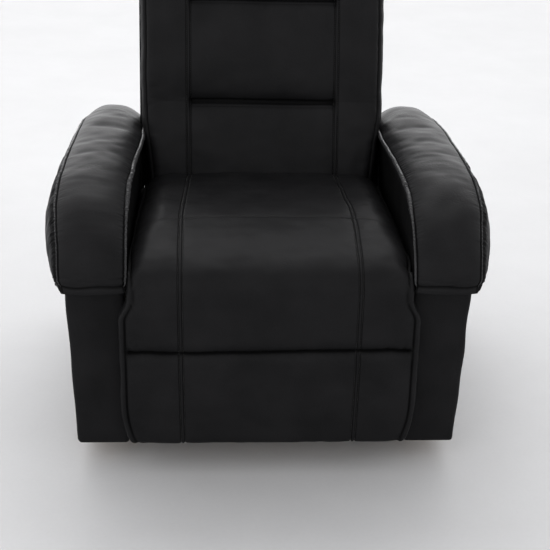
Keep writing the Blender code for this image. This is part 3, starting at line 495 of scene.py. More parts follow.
def leatherMaterial(name, look, seams=True):
    # Pebbled leather: a broad tone, warped cells for its grain, fine creases in patches, and painted shade,
    # darker and rougher, where the mesh's painted-shade attribute is high: in and beside the seams and on
    # shaded parts of the pillows.
    material, shader = newMaterial(name, look["roughLow"], **{
        "Specular IOR Level": look["specular"], "Coat Weight": 0.03, "Coat Roughness": 0.55, "IOR": 1.48,
    })
    spot = objectSpot(material)
    warp = noise(material, spot, 38.0, 2.0, output="Color")
    bent = vectorMath(material, "MULTIPLY", warp, (look["warp"],) * 3)
    cellSpot = vectorMath(material, "ADD", spot, bent)
    pebble, crease = (
        addNode(material, "ShaderNodeTexVoronoi", {"Vector": cellSpot, "Scale": look[key]}, feature=feature)
        .outputs["Distance"] for key, feature in (("pebble", "SMOOTH_F1"), ("crease", "DISTANCE_TO_EDGE"))
    )
    creaseLine = rangeNode(material, crease, 0.0, 1.0, 0.0, 0.16)
    creaseShare = rangeNode(material, noise(material, spot, 14.0, 3.0), 0.0, 1.0, 0.45, 0.62)
    creaseHeight = mathNode(material, "MULTIPLY", creaseLine, creaseShare)
    broad = noise(material, spot, look["broad"], 5.0)
    grain = noise(material, spot, 240.0, 4.0)
    tone = ramp(material, broad, [(0.32, look["dark"]), (0.70, look["light"])])
    hollow = ramp(material, pebble, [(0.0, (1.25, 1.25, 1.25)), (0.55, (0.70, 0.70, 0.70))])
    colour = multiplied(material, 0.6, tone, hollow)
    rough = rangeNode(material, broad, look["roughLow"], look["roughHigh"], 0.3, 0.7)
    rough = mathNode(material, "ADD", rough, mathNode(material, "MULTIPLY", grain, 0.05))
    # Painted shade: the attribute darkens the colour and adds roughness.
    if seams:
        near = addNode(material, "ShaderNodeAttribute", attribute_name="seamNear").outputs["Fac"]
        colour = multiplied(material, 1.0, colour, rangeNode(material, near, 1.0, look["seamDarken"]))
        rough = mathNode(material, "ADD", rough, mathNode(material, "MULTIPLY", near, look["seamRough"]))
    finishShader(material, shader, colour, rough, [
        (broad, *look["broadBump"]),
        (creaseHeight, *look["creaseBump"]),
        (grain, *look["grainBump"]),
        (pebble, *look["pebbleBump"]),
    ])
    return material


leather = leatherMaterial("blackLeather", leatherLook)
plainLeather = leatherMaterial("blackLeatherPlain", leatherLook, seams=False)
# The welts: the same black leather drawn lighter and shinier, a painted highlight for their upper faces that
# catch the light.
weltPaintedLightTones = {"dark": (0.018, 0.018, 0.0188), "light": (0.034, 0.0335, 0.0350)}
weltPaintedLightLook = dict(leatherLook, **weltPaintedLightTones, specular=0.2, roughLow=0.38, roughHigh=0.46)
weltPaintedLightLeather = leatherMaterial("blackWelt", weltPaintedLightLook, seams=False)


def threadMaterial():
    # Twisted thread: fine slanting waves over a near black fibre.
    material, shader = newMaterial("blackThread", 0.6, **{"Sheen Weight": 0.3, "Specular IOR Level": 0.3})
    twist = waveNode(material, objectSpot(material), 420.0, {"Distortion": 1.5})
    colour = ramp(material, twist, [(0.0, (0.008, 0.008, 0.008)), (1.0, (0.035, 0.034, 0.034))])
    finishShader(material, shader, colour, None, [(twist, 0.6, 0.0002)])
    return material


def timberMaterial():
    # Sawn poplar: long rings along X and Y with pores, and a rough sawn bump.
    material, shader = newMaterial("sawnTimber", 0.7, **{"Specular IOR Level": 0.3})
    spot = objectSpot(material, (3.0, 3.0, 26.0))
    rings = noise(material, spot, 3.2, 6.0, {"Distortion": 0.6})
    lines = waveNode(material, spot, 1.1, {"Distortion": 6.0, "Detail": 3.0}, bands_direction="Z")
    pores = noise(material, objectSpot(material, (20, 20, 700)), 1.5, 3.0)
    both = weighted(material, rings, 0.55, lines, 0.45)
    stops = [(0.2, (0.30, 0.185, 0.095)), (0.5, (0.46, 0.31, 0.17)), (0.8, (0.60, 0.44, 0.27))]
    colour, rough = ramp(material, both, stops), rangeNode(material, pores, 0.6, 0.82)
    finishShader(material, shader, colour, rough, [(both, 0.25, 0.0006), (pores, 0.5, 0.0004)])
    return material


def steelMaterial(name, dark, light, roughness, metallic, scale):
    # Stamped steel: brushed streaks along Y, and blotches of plating or paint.
    material, shader = newMaterial(name, roughness, metallic)
    streak = noise(material, objectSpot(material, (60, 6, 60)), scale, 5.0)
    blotch = noise(material, objectSpot(material), 55.0, 6.0, {"Roughness": 0.65})
    mixed = weighted(material, streak, 0.4, blotch, 0.6)
    rough = rangeNode(material, mixed, roughness - 0.08, roughness + 0.14, 0.3, 0.7)
    colour = ramp(material, mixed, [(0.3, dark), (0.7, light)])
    finishShader(material, shader, colour, rough, [(blotch, 0.2, 0.0004), (streak, 0.25, 0.0002)])
    return material


def plasticMaterial():
    # Moulded plastic: a fine speckle in tone, roughness and height.
    material, shader = newMaterial("blackPlastic", 0.5, **{"Specular IOR Level": 0.4})
    speck = noise(material, objectSpot(material), 900.0, 3.0)
    colour = ramp(material, speck, [(0.3, (0.010, 0.010, 0.010)), (0.7, (0.022, 0.022, 0.023))])
    finishShader(material, shader, colour, rangeNode(material, speck, 0.42, 0.6), [(speck, 0.5, 0.00015)])
    return material


def webbingMaterial():
    # Elastic webbing: a weave of two crossed waves.
    material, shader = newMaterial("wovenWebbing", 0.85, **{"Sheen Weight": 0.35, "Specular IOR Level": 0.2})
    spot = objectSpot(material)
    warp = waveNode(material, spot, 190.0, bands_direction="X")
    weft = waveNode(material, spot, 120.0, bands_direction="Z")
    woven = mathNode(material, "MULTIPLY", warp, weft)
    colour = ramp(material, woven, [(0.0, (0.03, 0.028, 0.026)), (1.0, (0.13, 0.12, 0.11))])
    finishShader(material, shader, colour, None, [(woven, 0.8, 0.0006)])
    return material


thread = threadMaterial()
timber = timberMaterial()
zincSteel = steelMaterial("zincSteel", (0.36, 0.37, 0.39), (0.66, 0.67, 0.69), 0.34, 1.0, 6.0)
blackSteel = steelMaterial("blackSteel", (0.012, 0.012, 0.012), (0.040, 0.040, 0.042), 0.42, 0.25, 5.0)
springSteel = steelMaterial("springSteel", (0.20, 0.20, 0.21), (0.44, 0.44, 0.45), 0.38, 1.0, 9.0)
plastic = plasticMaterial()
webbing = webbingMaterial()

# Each finish, and how the names of its nodes begin.
finishes = (
    (timber, ("arm_frame", "base_front_rail", "base_rear_rail", "seat_side_rail", "seat_front_rail",
              "seat_rear_rail", "back_upright", "back_lower_rail", "back_top_rail", "footrest_board")),
    (blackSteel, ("base_bracket", "seat_plate", "footrest_bracket", "back_bracket", "torque_tube")),
    (zincSteel, ("front_stand_link", "rear_stand_link", "long_swing", "short_swing", "upper_bar",
                 "lower_bar")),
    (plainLeather, ("arm_cover", "rear_panel", "back_cover", "arm_pillow", "seat_cushion", "front_roll",
                    "footrest_pad", "back_cushion")),
    (springSteel, ("seat_spring",)),
    (webbing, ("back_web",)),
    (plastic, ("glide",)),
)
for nodeName, node in frame["nodes"].items():
    finish = [material for material, starts in finishes if nodeName.startswith(starts)][0]
    node.data.materials.clear()
    node.data.materials.append(finish)
print("stage: finishes of the packed parts")


# Seat, front roll and footrest: one padded cover from the back's foot to the footrest's lower edge
hingeJoint = [joint for joint in frame["joints"] if joint["name"] == "footrest_open"][0]
hingeY, hingeZ = hingeJoint["pos_m"][1:]
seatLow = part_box("seat_cushion")[0]
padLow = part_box("footrest_pad")[0]

chaise = {
    "half": 0.2755, "widen": 0.0165, "widenFrom": 0.040, "widenTo": 0.085,
    "footDraw": 0.017, "footDrawFrom": 0.265, "footDrawReach": 0.090, "footDrop": 0.005,
    "roll": 0.0470, "edge": 0.070, "frontEdge": 0.040, "padEdge": 0.009,
    "underEdge": 0.007, "underHalf": 0.2795, "side": 0.018, "bottomRound": 0.017,
    "rearY": 0.0995, "rearSetback": 0.022, "innerGap": 0.001, "padGap": 0.0008,
    "innerTurn": 0.03, "innerShort": 0.02,
    "crossY": -0.2160, "crossArc": 0.010, "crossWidth": 0.21, "crossPower": 2.5, "crossEnd": 0.232,
    "crossFade": 0.045, "threadGap": 0.0045, "tuckSway": (0.0022, 9.0), "tuckLift": ((0.0018, 0.235, 0.02),),
    "tuckZ": 0.2740, "sideSeam": 0.0125, "sideSeamZ": 0.4400, "sideSeamDrop": 0.022,
    "seamU": 0.172, "borderU": 0.2805, "seamGap": 0.0038, "blendReach": 0.034,
    "coarse": (0.0062,), "rowSteps": (0.0042, 0.0012, 0.013), "columnSteps": (0.0050, 0.00115, 0.012),
    "pin": 0.0045, "end": 0.004, "crossHeld": 0.215, "trailWidth": 0.05,
    "sideFalls": (0.008, 0.006, 0.002, 0.0), "fallPower": 2.4,
    "double": ((-0.0026, 0.0038, 0.0014), (0.0008, 0, 0.0020), (-0.0014, 0, 0.016)),
    "cross": ((-0.0044, 0, 0.0021), (-0.0012, 0, 0.008)),
    "crossStep": (0.0010, 0.0015, 0.022),
    "tuck": ((-0.0072, 0, 0.0026), (-0.0050, 0, 0.012), (-0.0030, 0, 0.030), (0.0022, -0.020, 0.016)),
    "border": ((-0.0030, 0, 0.0015), (-0.0018, 0, 0.006)),
    "waves": ((0.11, 3, 0.0008), (0.045, 4, 0.00028)), "pucker": ((0.00045, -0.008, 0.014),),
    "ripple": ((0.00035, 0, 0.018),), "gather": ((0.0006, 0, 0.022),), "cornerGather": ((0.0018, 0, 0.02),),
    "cloth": {"stiffness": 6.0, "bending": 0.35, "slack": 0.010, "pressure": 2.5, "cap": 0.0042,
              "passes": 7, "centre": (0, -0.2742, 0.225)},
}
# Side view of the cover on its middle line, behind and above the front hinge.
chaiseKnots = [
    (0.4737, 0.0395), (0.4042, 0.0440), (0.3142, 0.0495), (0.2342, 0.0558), (0.1692, 0.0572),
    (0.1042, 0.0525), (0.0442, 0.0415), (0.0022, 0.0295), (-0.0288, 0.0120), (-0.0433, -0.0110),
    (-0.0470, -0.0400), (-0.0470, -0.0900),
]
# The long seams: distance along the cover, and distance from its middle.
seamTrail = np.array([[0.0, 0.1635], [0.30, 0.1745], [0.46, 0.1735], [0.72, 0.1725], [0.95, 0.1690]])


def runTo(line, run, column, value):
    # The distance along a line at which a coordinate first falls to a value.
    after = int(np.argmax(line[:, column] <= value))
    high, low = line[after - 1, column], line[after, column]
    return float(run[after - 1] + (run[after] - run[after - 1]) * (high - value) / (high - low))


def chaiseLine():
    # Side view of the cover: a smooth curve through its knots, the straight front of the footrest and a
    # quarter circle at its foot. Gives the points, the distance along them, and where the named lines lie.
    curve = smoothPath([(hingeY + ahead, hingeZ + above) for ahead, above in chaiseKnots], 700)
    turn = np.linspace(0, np.pi / 2, 40)
    foot = padLow.z - chaise["footDrop"] + chaise["bottomRound"]
    ahead = hingeY - chaise["roll"] + chaise["bottomRound"] * (1 - np.cos(turn))
    line = np.vstack([curve, np.stack([ahead, foot - chaise["bottomRound"] * np.sin(turn)], -1)])
    run = runAlong(line)
    marks = [("seat", 0, hingeY), ("cross", 0, chaise["crossY"]), ("roll", 1, hingeZ)]
    marks.append(("tuck", 1, chaise["tuckZ"]))
    places = {name: runTo(line, run, column, value) for name, column, value in marks}
    places["total"] = float(run[-1])
    return line, run, places


chaiseOut, chaiseRun, chaisePlaces = chaiseLine()
chaiseReach = slabReach(chaise["half"], chaise["edge"], chaise["side"])


def chaiseWidths(s):
    # Half width and edge radius for each row: narrow between the pillows, wider below them, drawn in
    # again towards the foot; the seat's edge is round, the footrest's is tight.
    seat, roll, cross = (chaisePlaces[key] for key in ("seat", "roll", "cross"))
    drop = s - roll
    half = chaise["half"] + chaise["widen"] * easeStep(drop, chaise["widenFrom"], chaise["widenTo"])
    drawn = np.clip((drop - chaise["footDrawFrom"]) / chaise["footDrawReach"], 0, None)
    half = half - chaise["footDraw"] * drawn ** 2
    edge = chaise["edge"] + (chaise["frontEdge"] - chaise["edge"]) * easeStep(s, cross - 0.03, seat)
    edge = edge + (chaise["padEdge"] - edge) * easeStep(s, seat, roll + 0.040)
    return half, edge


def sideSeamU(s):
    # Where across the sheet the side seam lies: at one height along the seat, and on the footrest a set
    # distance inside the widest line.
    half, edge = chaiseWidths(s)
    gap = chaise["sideSeam"]
    drop = np.maximum(np.interp(s, chaiseRun, chaiseOut[:, 1]) - chaise["sideSeamZ"], chaise["sideSeamDrop"])
    onSeat = half - edge + edge * np.arccos(np.clip(1 - drop / edge, 0, 1))
    onEdge = half - edge + edge * np.arcsin(np.clip(1 - gap / edge, 0, 1))
    onPad = np.where(gap < edge, onEdge, half - np.maximum(gap, edge))
    share = easeStep(s, chaisePlaces["seat"] - 0.040, chaisePlaces["roll"] + 0.030)
    return onSeat + share * (onPad - onSeat)


def innerLine(s):
    # The hidden inner line: along the cushion's base, up to the hinge, then down the footrest's back.
    seat, roll = (chaisePlaces[key] for key in ("seat", "roll"))
    gap, turn, short = (chaise[key] for key in ("innerGap", "innerTurn", "innerShort"))
    rear = chaise["rearY"] - chaise["rearSetback"]
    corner = [[rear, seatLow.z], [hingeY + gap, seatLow.z], [hingeY + gap, hingeZ - gap]]
    along = runAlong(corner)
    bend = along[1]
    ahead = s - seat + turn
    rising = bend - short + ahead / turn * (along[2] - bend + short)
    under = pointsAt(np.where(ahead < 0, s / (seat - turn) * (bend - short), rising), along, corner)
    front = hingeZ - np.clip(s - roll, 0, None)
    back = np.stack([np.full_like(s, hingeY - chaise["padGap"]), np.clip(front, padLow.z, hingeZ)], -1)
    return np.where((s < seat)[:, None], under, back)


def chaiseGrid(s, u):
    # The cover's sheet: a slab along the side view, whose sides lie lower by a power of the share across.
    half, edge = chaiseWidths(s)
    out = pointsAt(s, chaiseRun, chaiseOut)
    grid, share, across = slabSheet(out, innerLine(s), u, half, edge, chaiseReach)
    fall = np.interp(s, [0, *(chaisePlaces[key] for key in ("cross", "seat", "roll"))], chaise["sideFalls"])
    grid[..., 2] -= fall[:, None] * across ** chaise["fallPower"] * np.clip(1 - share, 0, 1)
    return grid


def seamPlaces(s):
    return np.interp(s, seamTrail[:, 0], seamTrail[:, 1])


def buildChaise():
    names = ("seat", "roll", "cross", "tuck", "total")
    seat, roll, crossS, tuckS, total = (chaisePlaces[name] for name in names)
    uMax, seamU, borderU = chaiseReach, chaise["seamU"], chaise["borderU"]
    sCoarse, uCoarse = spreadSteps(0, total, chaise["coarse"]), spreadSteps(-uMax, uMax, chaise["coarse"])
    sFine = spreadSteps(0, total, chaise["rowSteps"], (crossS + chaise["crossArc"] / 2, tuckS))
    uFine = spreadSteps(-uMax, uMax, chaise["columnSteps"], (-borderU, -seamU, seamU, borderU))
    rows, across = sCoarse[:, None], np.abs(uCoarse)[None, :]
    sideU = sideSeamU(sCoarse)[:, None]
    pin, end = chaise["pin"], chaise["end"]
    held = highest(
        0.9 * (np.abs(across - seamPlaces(sCoarse)[:, None]) < pin),
        0.9 * (np.abs(across - sideU) < pin),
        0.7 * (np.abs(rows - crossS) < pin) * (across < chaise["crossHeld"]),
        1.0 * (np.abs(rows - tuckS) < pin) * (across < sideU + 0.003),
        1.0 * (across > uMax - end),
        1.0 * ((rows < end) | (rows > total - end)),
    )
    grid = chaiseGrid(sFine, uFine)
    grid += clothShift(chaiseGrid, (sCoarse, uCoarse), (sFine, uFine), held, chaise["cloth"])
    shift = (seamPlaces(sFine) - seamU)[:, None] * hill(np.abs(uFine) - seamU, chaise["trailWidth"])[None, :]
    grid[..., 0] += np.sign(uFine)[None, :] * shift

    # Seams: two stitched grooves with a ridge between them, a fold at the cross seam, a deep tuck,
    # and a groove along each side where the panel meets its border.
    half, _ = chaiseWidths(sFine)
    sideU = sideSeamU(sFine)[:, None]
    s, u = sFine[:, None], uFine[None, :]
    wide = np.abs(u)
    around = np.abs(wide - seamU)
    double = creases(around, chaise["double"]) * (1 - 0.7 * hill(s - tuckS, 0.004))
    inSides = easeStep(sideU - wide, -0.001, 0.006)
    crossEnds = easeStep(chaise["crossEnd"] - wide, 0.0, chaise["crossFade"])
    fromCross = s - crossS - chaise["crossArc"] * (wide / chaise["crossWidth"]) ** chaise["crossPower"]
    stepHeight, stepWidth, stepReach = chaise["crossStep"]
    crossStep = stepHeight * np.tanh(fromCross / stepWidth) * hill(fromCross, stepReach)
    cross = (crossStep + creases(fromCross, chaise["cross"])) * crossEnds
    sway, rate = chaise["tuckSway"]
    wavy = s - tuckS + sway * np.sin(u * rate) + creases(wide, chaise["tuckLift"])
    tuck = creases(wavy, chaise["tuck"]) * inSides
    fromSide = wide - sideU
    onSeat = 1 - easeStep(s, seat - 0.010, roll + 0.020)
    ridge = (0.0012 + 0.0018 * onSeat) * hill(fromSide - 0.0065 + 0.0025 * onSeat, 0.0040 - 0.0020 * onSeat)
    border = creases(fromSide, chaise["border"]) + ridge
    spot = np.stack(np.broadcast_arrays(s, u), -1)
    pucker = softNoise(spot * (1.0, 0.25), 0.010, 5) * creases(fromSide, chaise["pucker"])
    pleat = softNoise(spot * (0.3, 1.0), 0.012, 6)
    corners = creases(s - tuckS, chaise["cornerGather"]) * hill(wide - 0.250, 0.02)
    gather = creases(s - tuckS, chaise["gather"]) + corners
    ripple = softNoise(spot * (1.0, 0.35), 0.014, 8) * creases(around, chaise["ripple"])
    moves = double + cross + tuck + border + waves(spot, chaise["waves"]) + pucker + pleat * gather + ripple
    normal = outwardNormals(grid, chaise["cloth"]["centre"])
    grid += normal * (moves * easeStep(uMax - wide, 0.004, 0.012))[..., None]
    # Painted shade in and beside the seams, the cross fold, the tuck and the side grooves.
    near = highest(
        hill(around - chaise["seamGap"], 0.0016),
        hill(fromCross, 0.0024) * crossEnds,
        hill(wavy, 0.006) * inSides,
        hill(fromSide, 0.0024),
    )

    # The underside closes the sheet: down to the inner line and across.
    under = np.zeros((len(sFine), 5, 3))
    underHalf = np.minimum(half - chaise["underEdge"], chaise["underHalf"])
    under[..., 0] = np.linspace(1, -1, 5) * underHalf[:, None]
    under[..., 1:] = innerLine(sFine)[:, None, :]
    cover = leatherPiece("chaiseCover", grid, near, under)

    # Thread in the two grooves of each long seam, and beside the cross seam.
    columns = seamColumns(uFine, seamU, chaise["seamGap"])
    lines = [(grid[3:-2, column], normal[3:-2, column]) for column in columns]
    inside = np.nonzero(np.abs(uFine) < chaise["crossHeld"])[0]
    crossRows = np.abs(fromCross[:, inside] - chaise["threadGap"]).argmin(axis=0)
    lines.append((grid[crossRows, inside], normal[crossRows, inside]))
    stitches = stitchRun(lines, seatStitch, "chaiseStitching")
    for piece in (cover, stitches):
        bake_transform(piece)
    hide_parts("seat_cushion", "front_roll", "footrest_pad")
    print("stage: seat and footrest cover,", len(cover.data.polygons), "faces")


buildChaise()


# Arm pillows: one gathered sheet over each arm, with a gusset down both sides and a nose in front.
# The tables have a value for each knot of the crest, from the rear to the nose's lower edge.
pillow = {
    "wallX": 0.2802, "strip": 0.016, "slimNose": 0.45, "noseShare": 0.78, "underX": (0.2806, 0.4025),
    "hemZ": 0.4140, "hemLift": 0.004, "inner": 0.050, "panel": 0.146, "outer": 0.150,
    "coarse": (0.0065,), "rowSteps": (0.0034, 0.0015, 0.23), "columnSteps": (0.0042, 0.0012, 0.008),
    "pin": 0.0048, "end": 0.008, "hemPin": 0.018, "hemFine": 0.017, "gathering": (0.25, 0.06, 0.17),
    "pleat": (0.10, 0.0085), "pleatHeight": 0.00075, "small": (0.15, 0.0055), "smallHeight": 0.0004,
    "fold": (0.16, 0.024), "foldHeight": 0.00014, "hemSway": 0.0012,
    "ruffle": 0.0058, "ruffleTall": 0.0011, "ruffleWide": 0.0008, "ruffleAside": 0.0005,
    "sway": 0.011, "swayAside": 0.0010, "weltPitch": 0.0011, "weltEnd": 0.012,
    "welts": {"Inner": (0.0042, 0.0039), "Outer": (0.0020, 0.0016)},
    "weltStarts": {"Inner": 6, "Outer": 10},
    "innerDepth": (0.010, 0.020, 0.028, 0.031, 0.030, 0.027, 0.021, 0.018, 0.017, 0.017, 0.017, 0.016, 0.014,
                   0.012, 0.009),
    "outerDepth": (0.012, 0.024, 0.030, 0.026, 0.015, 0.011, 0.009, 0.009, 0.010, 0.013, 0.014, 0.013, 0.010,
                   0.008, 0.006),
    "innerX": (0.2735, 0.2735, 0.2735, 0.2730, 0.2690, 0.2665, 0.2740, 0.2780, 0.2785, 0.2780, 0.2775, 0.2775,
               0.2770, 0.2770, 0.2770),
    "outerX": (0.398, 0.399, 0.402, 0.405, 0.408, 0.411, 0.416, 0.418, 0.418, 0.417, 0.412, 0.407, 0.4045,
               0.403, 0.395),
    "bulgeX": (0.406, 0.409, 0.413, 0.417, 0.422, 0.428, 0.434, 0.437, 0.4365, 0.4355, 0.430, 0.423, 0.4175,
               0.412, 0.400),
    "hemX": (0.4045,) * 14 + (0.393,),
    "riseAt": (0, 0.05, 0.14, 0.30, 0.50), "rise": (0, 0.42, 0.78, 1.0, 1.0),
    "sinkAt": (0.50, 0.68, 0.80, 0.885, 0.93, 0.975, 1.0), "sink": (1.0, 0.90, 0.70, 0.40, 0.36, 0.15, 0.0),
    "innerSeam": ((-0.0022, 0.0022, 0.0022), (-0.0016, 0, 0.012)),
    "outerSeam": ((-0.0020, -0.0022, 0.0022), (-0.0012, 0, 0.012)),
    "innerBand": ((0.9, 0.004, 0.006), (0.225, 0.010, 0.010)),
    "outerBand": ((2.2, 0.009, 0.008), (0.25, -0.008, 0.010)),
    "hemSeam": ((-0.0028, 0, 0.0018), (-0.0016, 0, 0.008), (0.0012, -0.009, 0.006)),
    "cloth": {"stiffness": 5.0, "bending": 0.3, "slack": 0.012, "pressure": 3.0, "cap": 0.0035,
              "passes": 6, "centre": (0.335, -0.05, 0.47)},
}
crestKnots = [
    (0.350, 0.476), (0.351, 0.503), (0.338, 0.540), (0.295, 0.560), (0.200, 0.568), (0.100, 0.570),
    (-0.080, 0.571), (-0.187, 0.567), (-0.250, 0.559), (-0.300, 0.546), (-0.345, 0.524),
    (-0.385, 0.494), (-0.410, 0.460), (-0.4205, 0.428), (-0.4215, 0.400),
]
hemKnots = [
    *((y, 0.402) for y in (0.346, 0.343, 0.333, 0.295, 0.200, 0.100, -0.080, -0.187, -0.240, -0.278)),
    (-0.310, 0.401), (-0.340, 0.399), (-0.360, 0.397), (-0.3735, 0.396), (-0.3750, 0.396),
]
returnKnots = [
    *((y, 0.4607) for y in (0.346, 0.343, 0.333, 0.295, 0.200, 0.100, -0.080, -0.187, -0.250, -0.300)),
    (-0.345, 0.4607), (-0.3700, 0.4607), (-0.3700, 0.440), (-0.3700, 0.420), (-0.3705, 0.4035),
]
tableNames = ("innerDepth", "outerDepth", "innerX", "outerX", "bulgeX", "hemX")


def pillowFrames(s):
    # Side view of the pillow at a distance s along its crest: the crest point, the hem point under
    # it, the hidden return, the outward arrow, and the places and depths of the two seams.
    crest = smoothPath(crestKnots, 1400)
    run = runAlong(crest)
    knotRun = run[np.linspace(0, len(run) - 1, len(crestKnots)).round().astype(int)]
    tangent = np.gradient(crest, axis=0)
    tangent /= np.linalg.norm(tangent, axis=1, keepdims=True)
    tables = {key: pillow[key] for key in tableNames}
    at = {key: np.interp(s, knotRun, values)[:, None] for key, values in tables.items()}
    at["hem"], at["return"] = (pointsAt(s, knotRun, table) for table in (hemKnots, returnKnots))
    at["crest"], at["total"] = pointsAt(s, run, crest), float(run[-1])
    at["outward"] = pointsAt(s, run, tangent[:, ::-1] * (1, -1))
    return at


def pillowGrid(s, v):
    # v runs up the inner side to its seam, over the panel to the outer seam, and down the outer side.
    # The panel is a low arch, steeper at its inner edge; the outer side swells and rolls in at the hem.
    at = pillowFrames(s)
    inner, panel, outer = (pillow[key] for key in ("inner", "panel", "outer"))
    up = np.clip(v / inner, 0, 1)[None, :]
    over = np.clip((v - inner) / panel, 0, 1)[None, :]
    down = np.clip((v - inner - panel) / outer, 0, 1)[None, :]
    depth = at["innerDepth"] * np.clip(1 - over / 0.55, 0, 1) ** 2.2
    depth = depth + at["outerDepth"] * np.clip((over - 0.55) / 0.45, 0, 1) ** 2.6
    side = at["crest"][:, None, :] - depth[..., None] * at["outward"][:, None, :]
    innerSeam, outerSeam, hem = side[:, :1], side[:, -1:], at["hem"][:, None, :]
    onInner, onOuter = (v < inner)[None, :], (v > inner + panel)[None, :]
    view = np.where(onInner[..., None], hem + (innerSeam - hem) * up[..., None], side)
    view = np.where(onOuter[..., None], outerSeam + (hem - outerSeam) * down[..., None], view)
    seamX, edgeX, swell, hemX = (at[key] for key in ("innerX", "outerX", "bulgeX", "hemX"))
    rise = np.interp(down, pillow["riseAt"], pillow["rise"])
    sink = np.interp(down, pillow["sinkAt"], pillow["sink"])
    x = np.where(down < 0.5, edgeX + rise * (swell - edgeX), hemX + sink * (swell - hemX))
    x = np.where(v[None, :] < inner + panel, seamX + over * (edgeX - seamX), x)
    x = np.where(onInner, pillow["wallX"] + (seamX - pillow["wallX"]) * up ** 3, x)
    return np.concatenate([x[..., None], view], axis=-1)


def gathering(s, noseS):
    # How strongly the pillow is gathered at each distance: most just above its nose.
    low, back, width = pillow["gathering"]
    return low + (1 - low) * hill(s - noseS + back, width)


def gathers(spot, name, seed):
    # Soft noise stretched across the sheet, so that it makes pleats along the other way.
    stretch, size = pillow[name]
    return softNoise(spot * (1.0, stretch), size, seed)


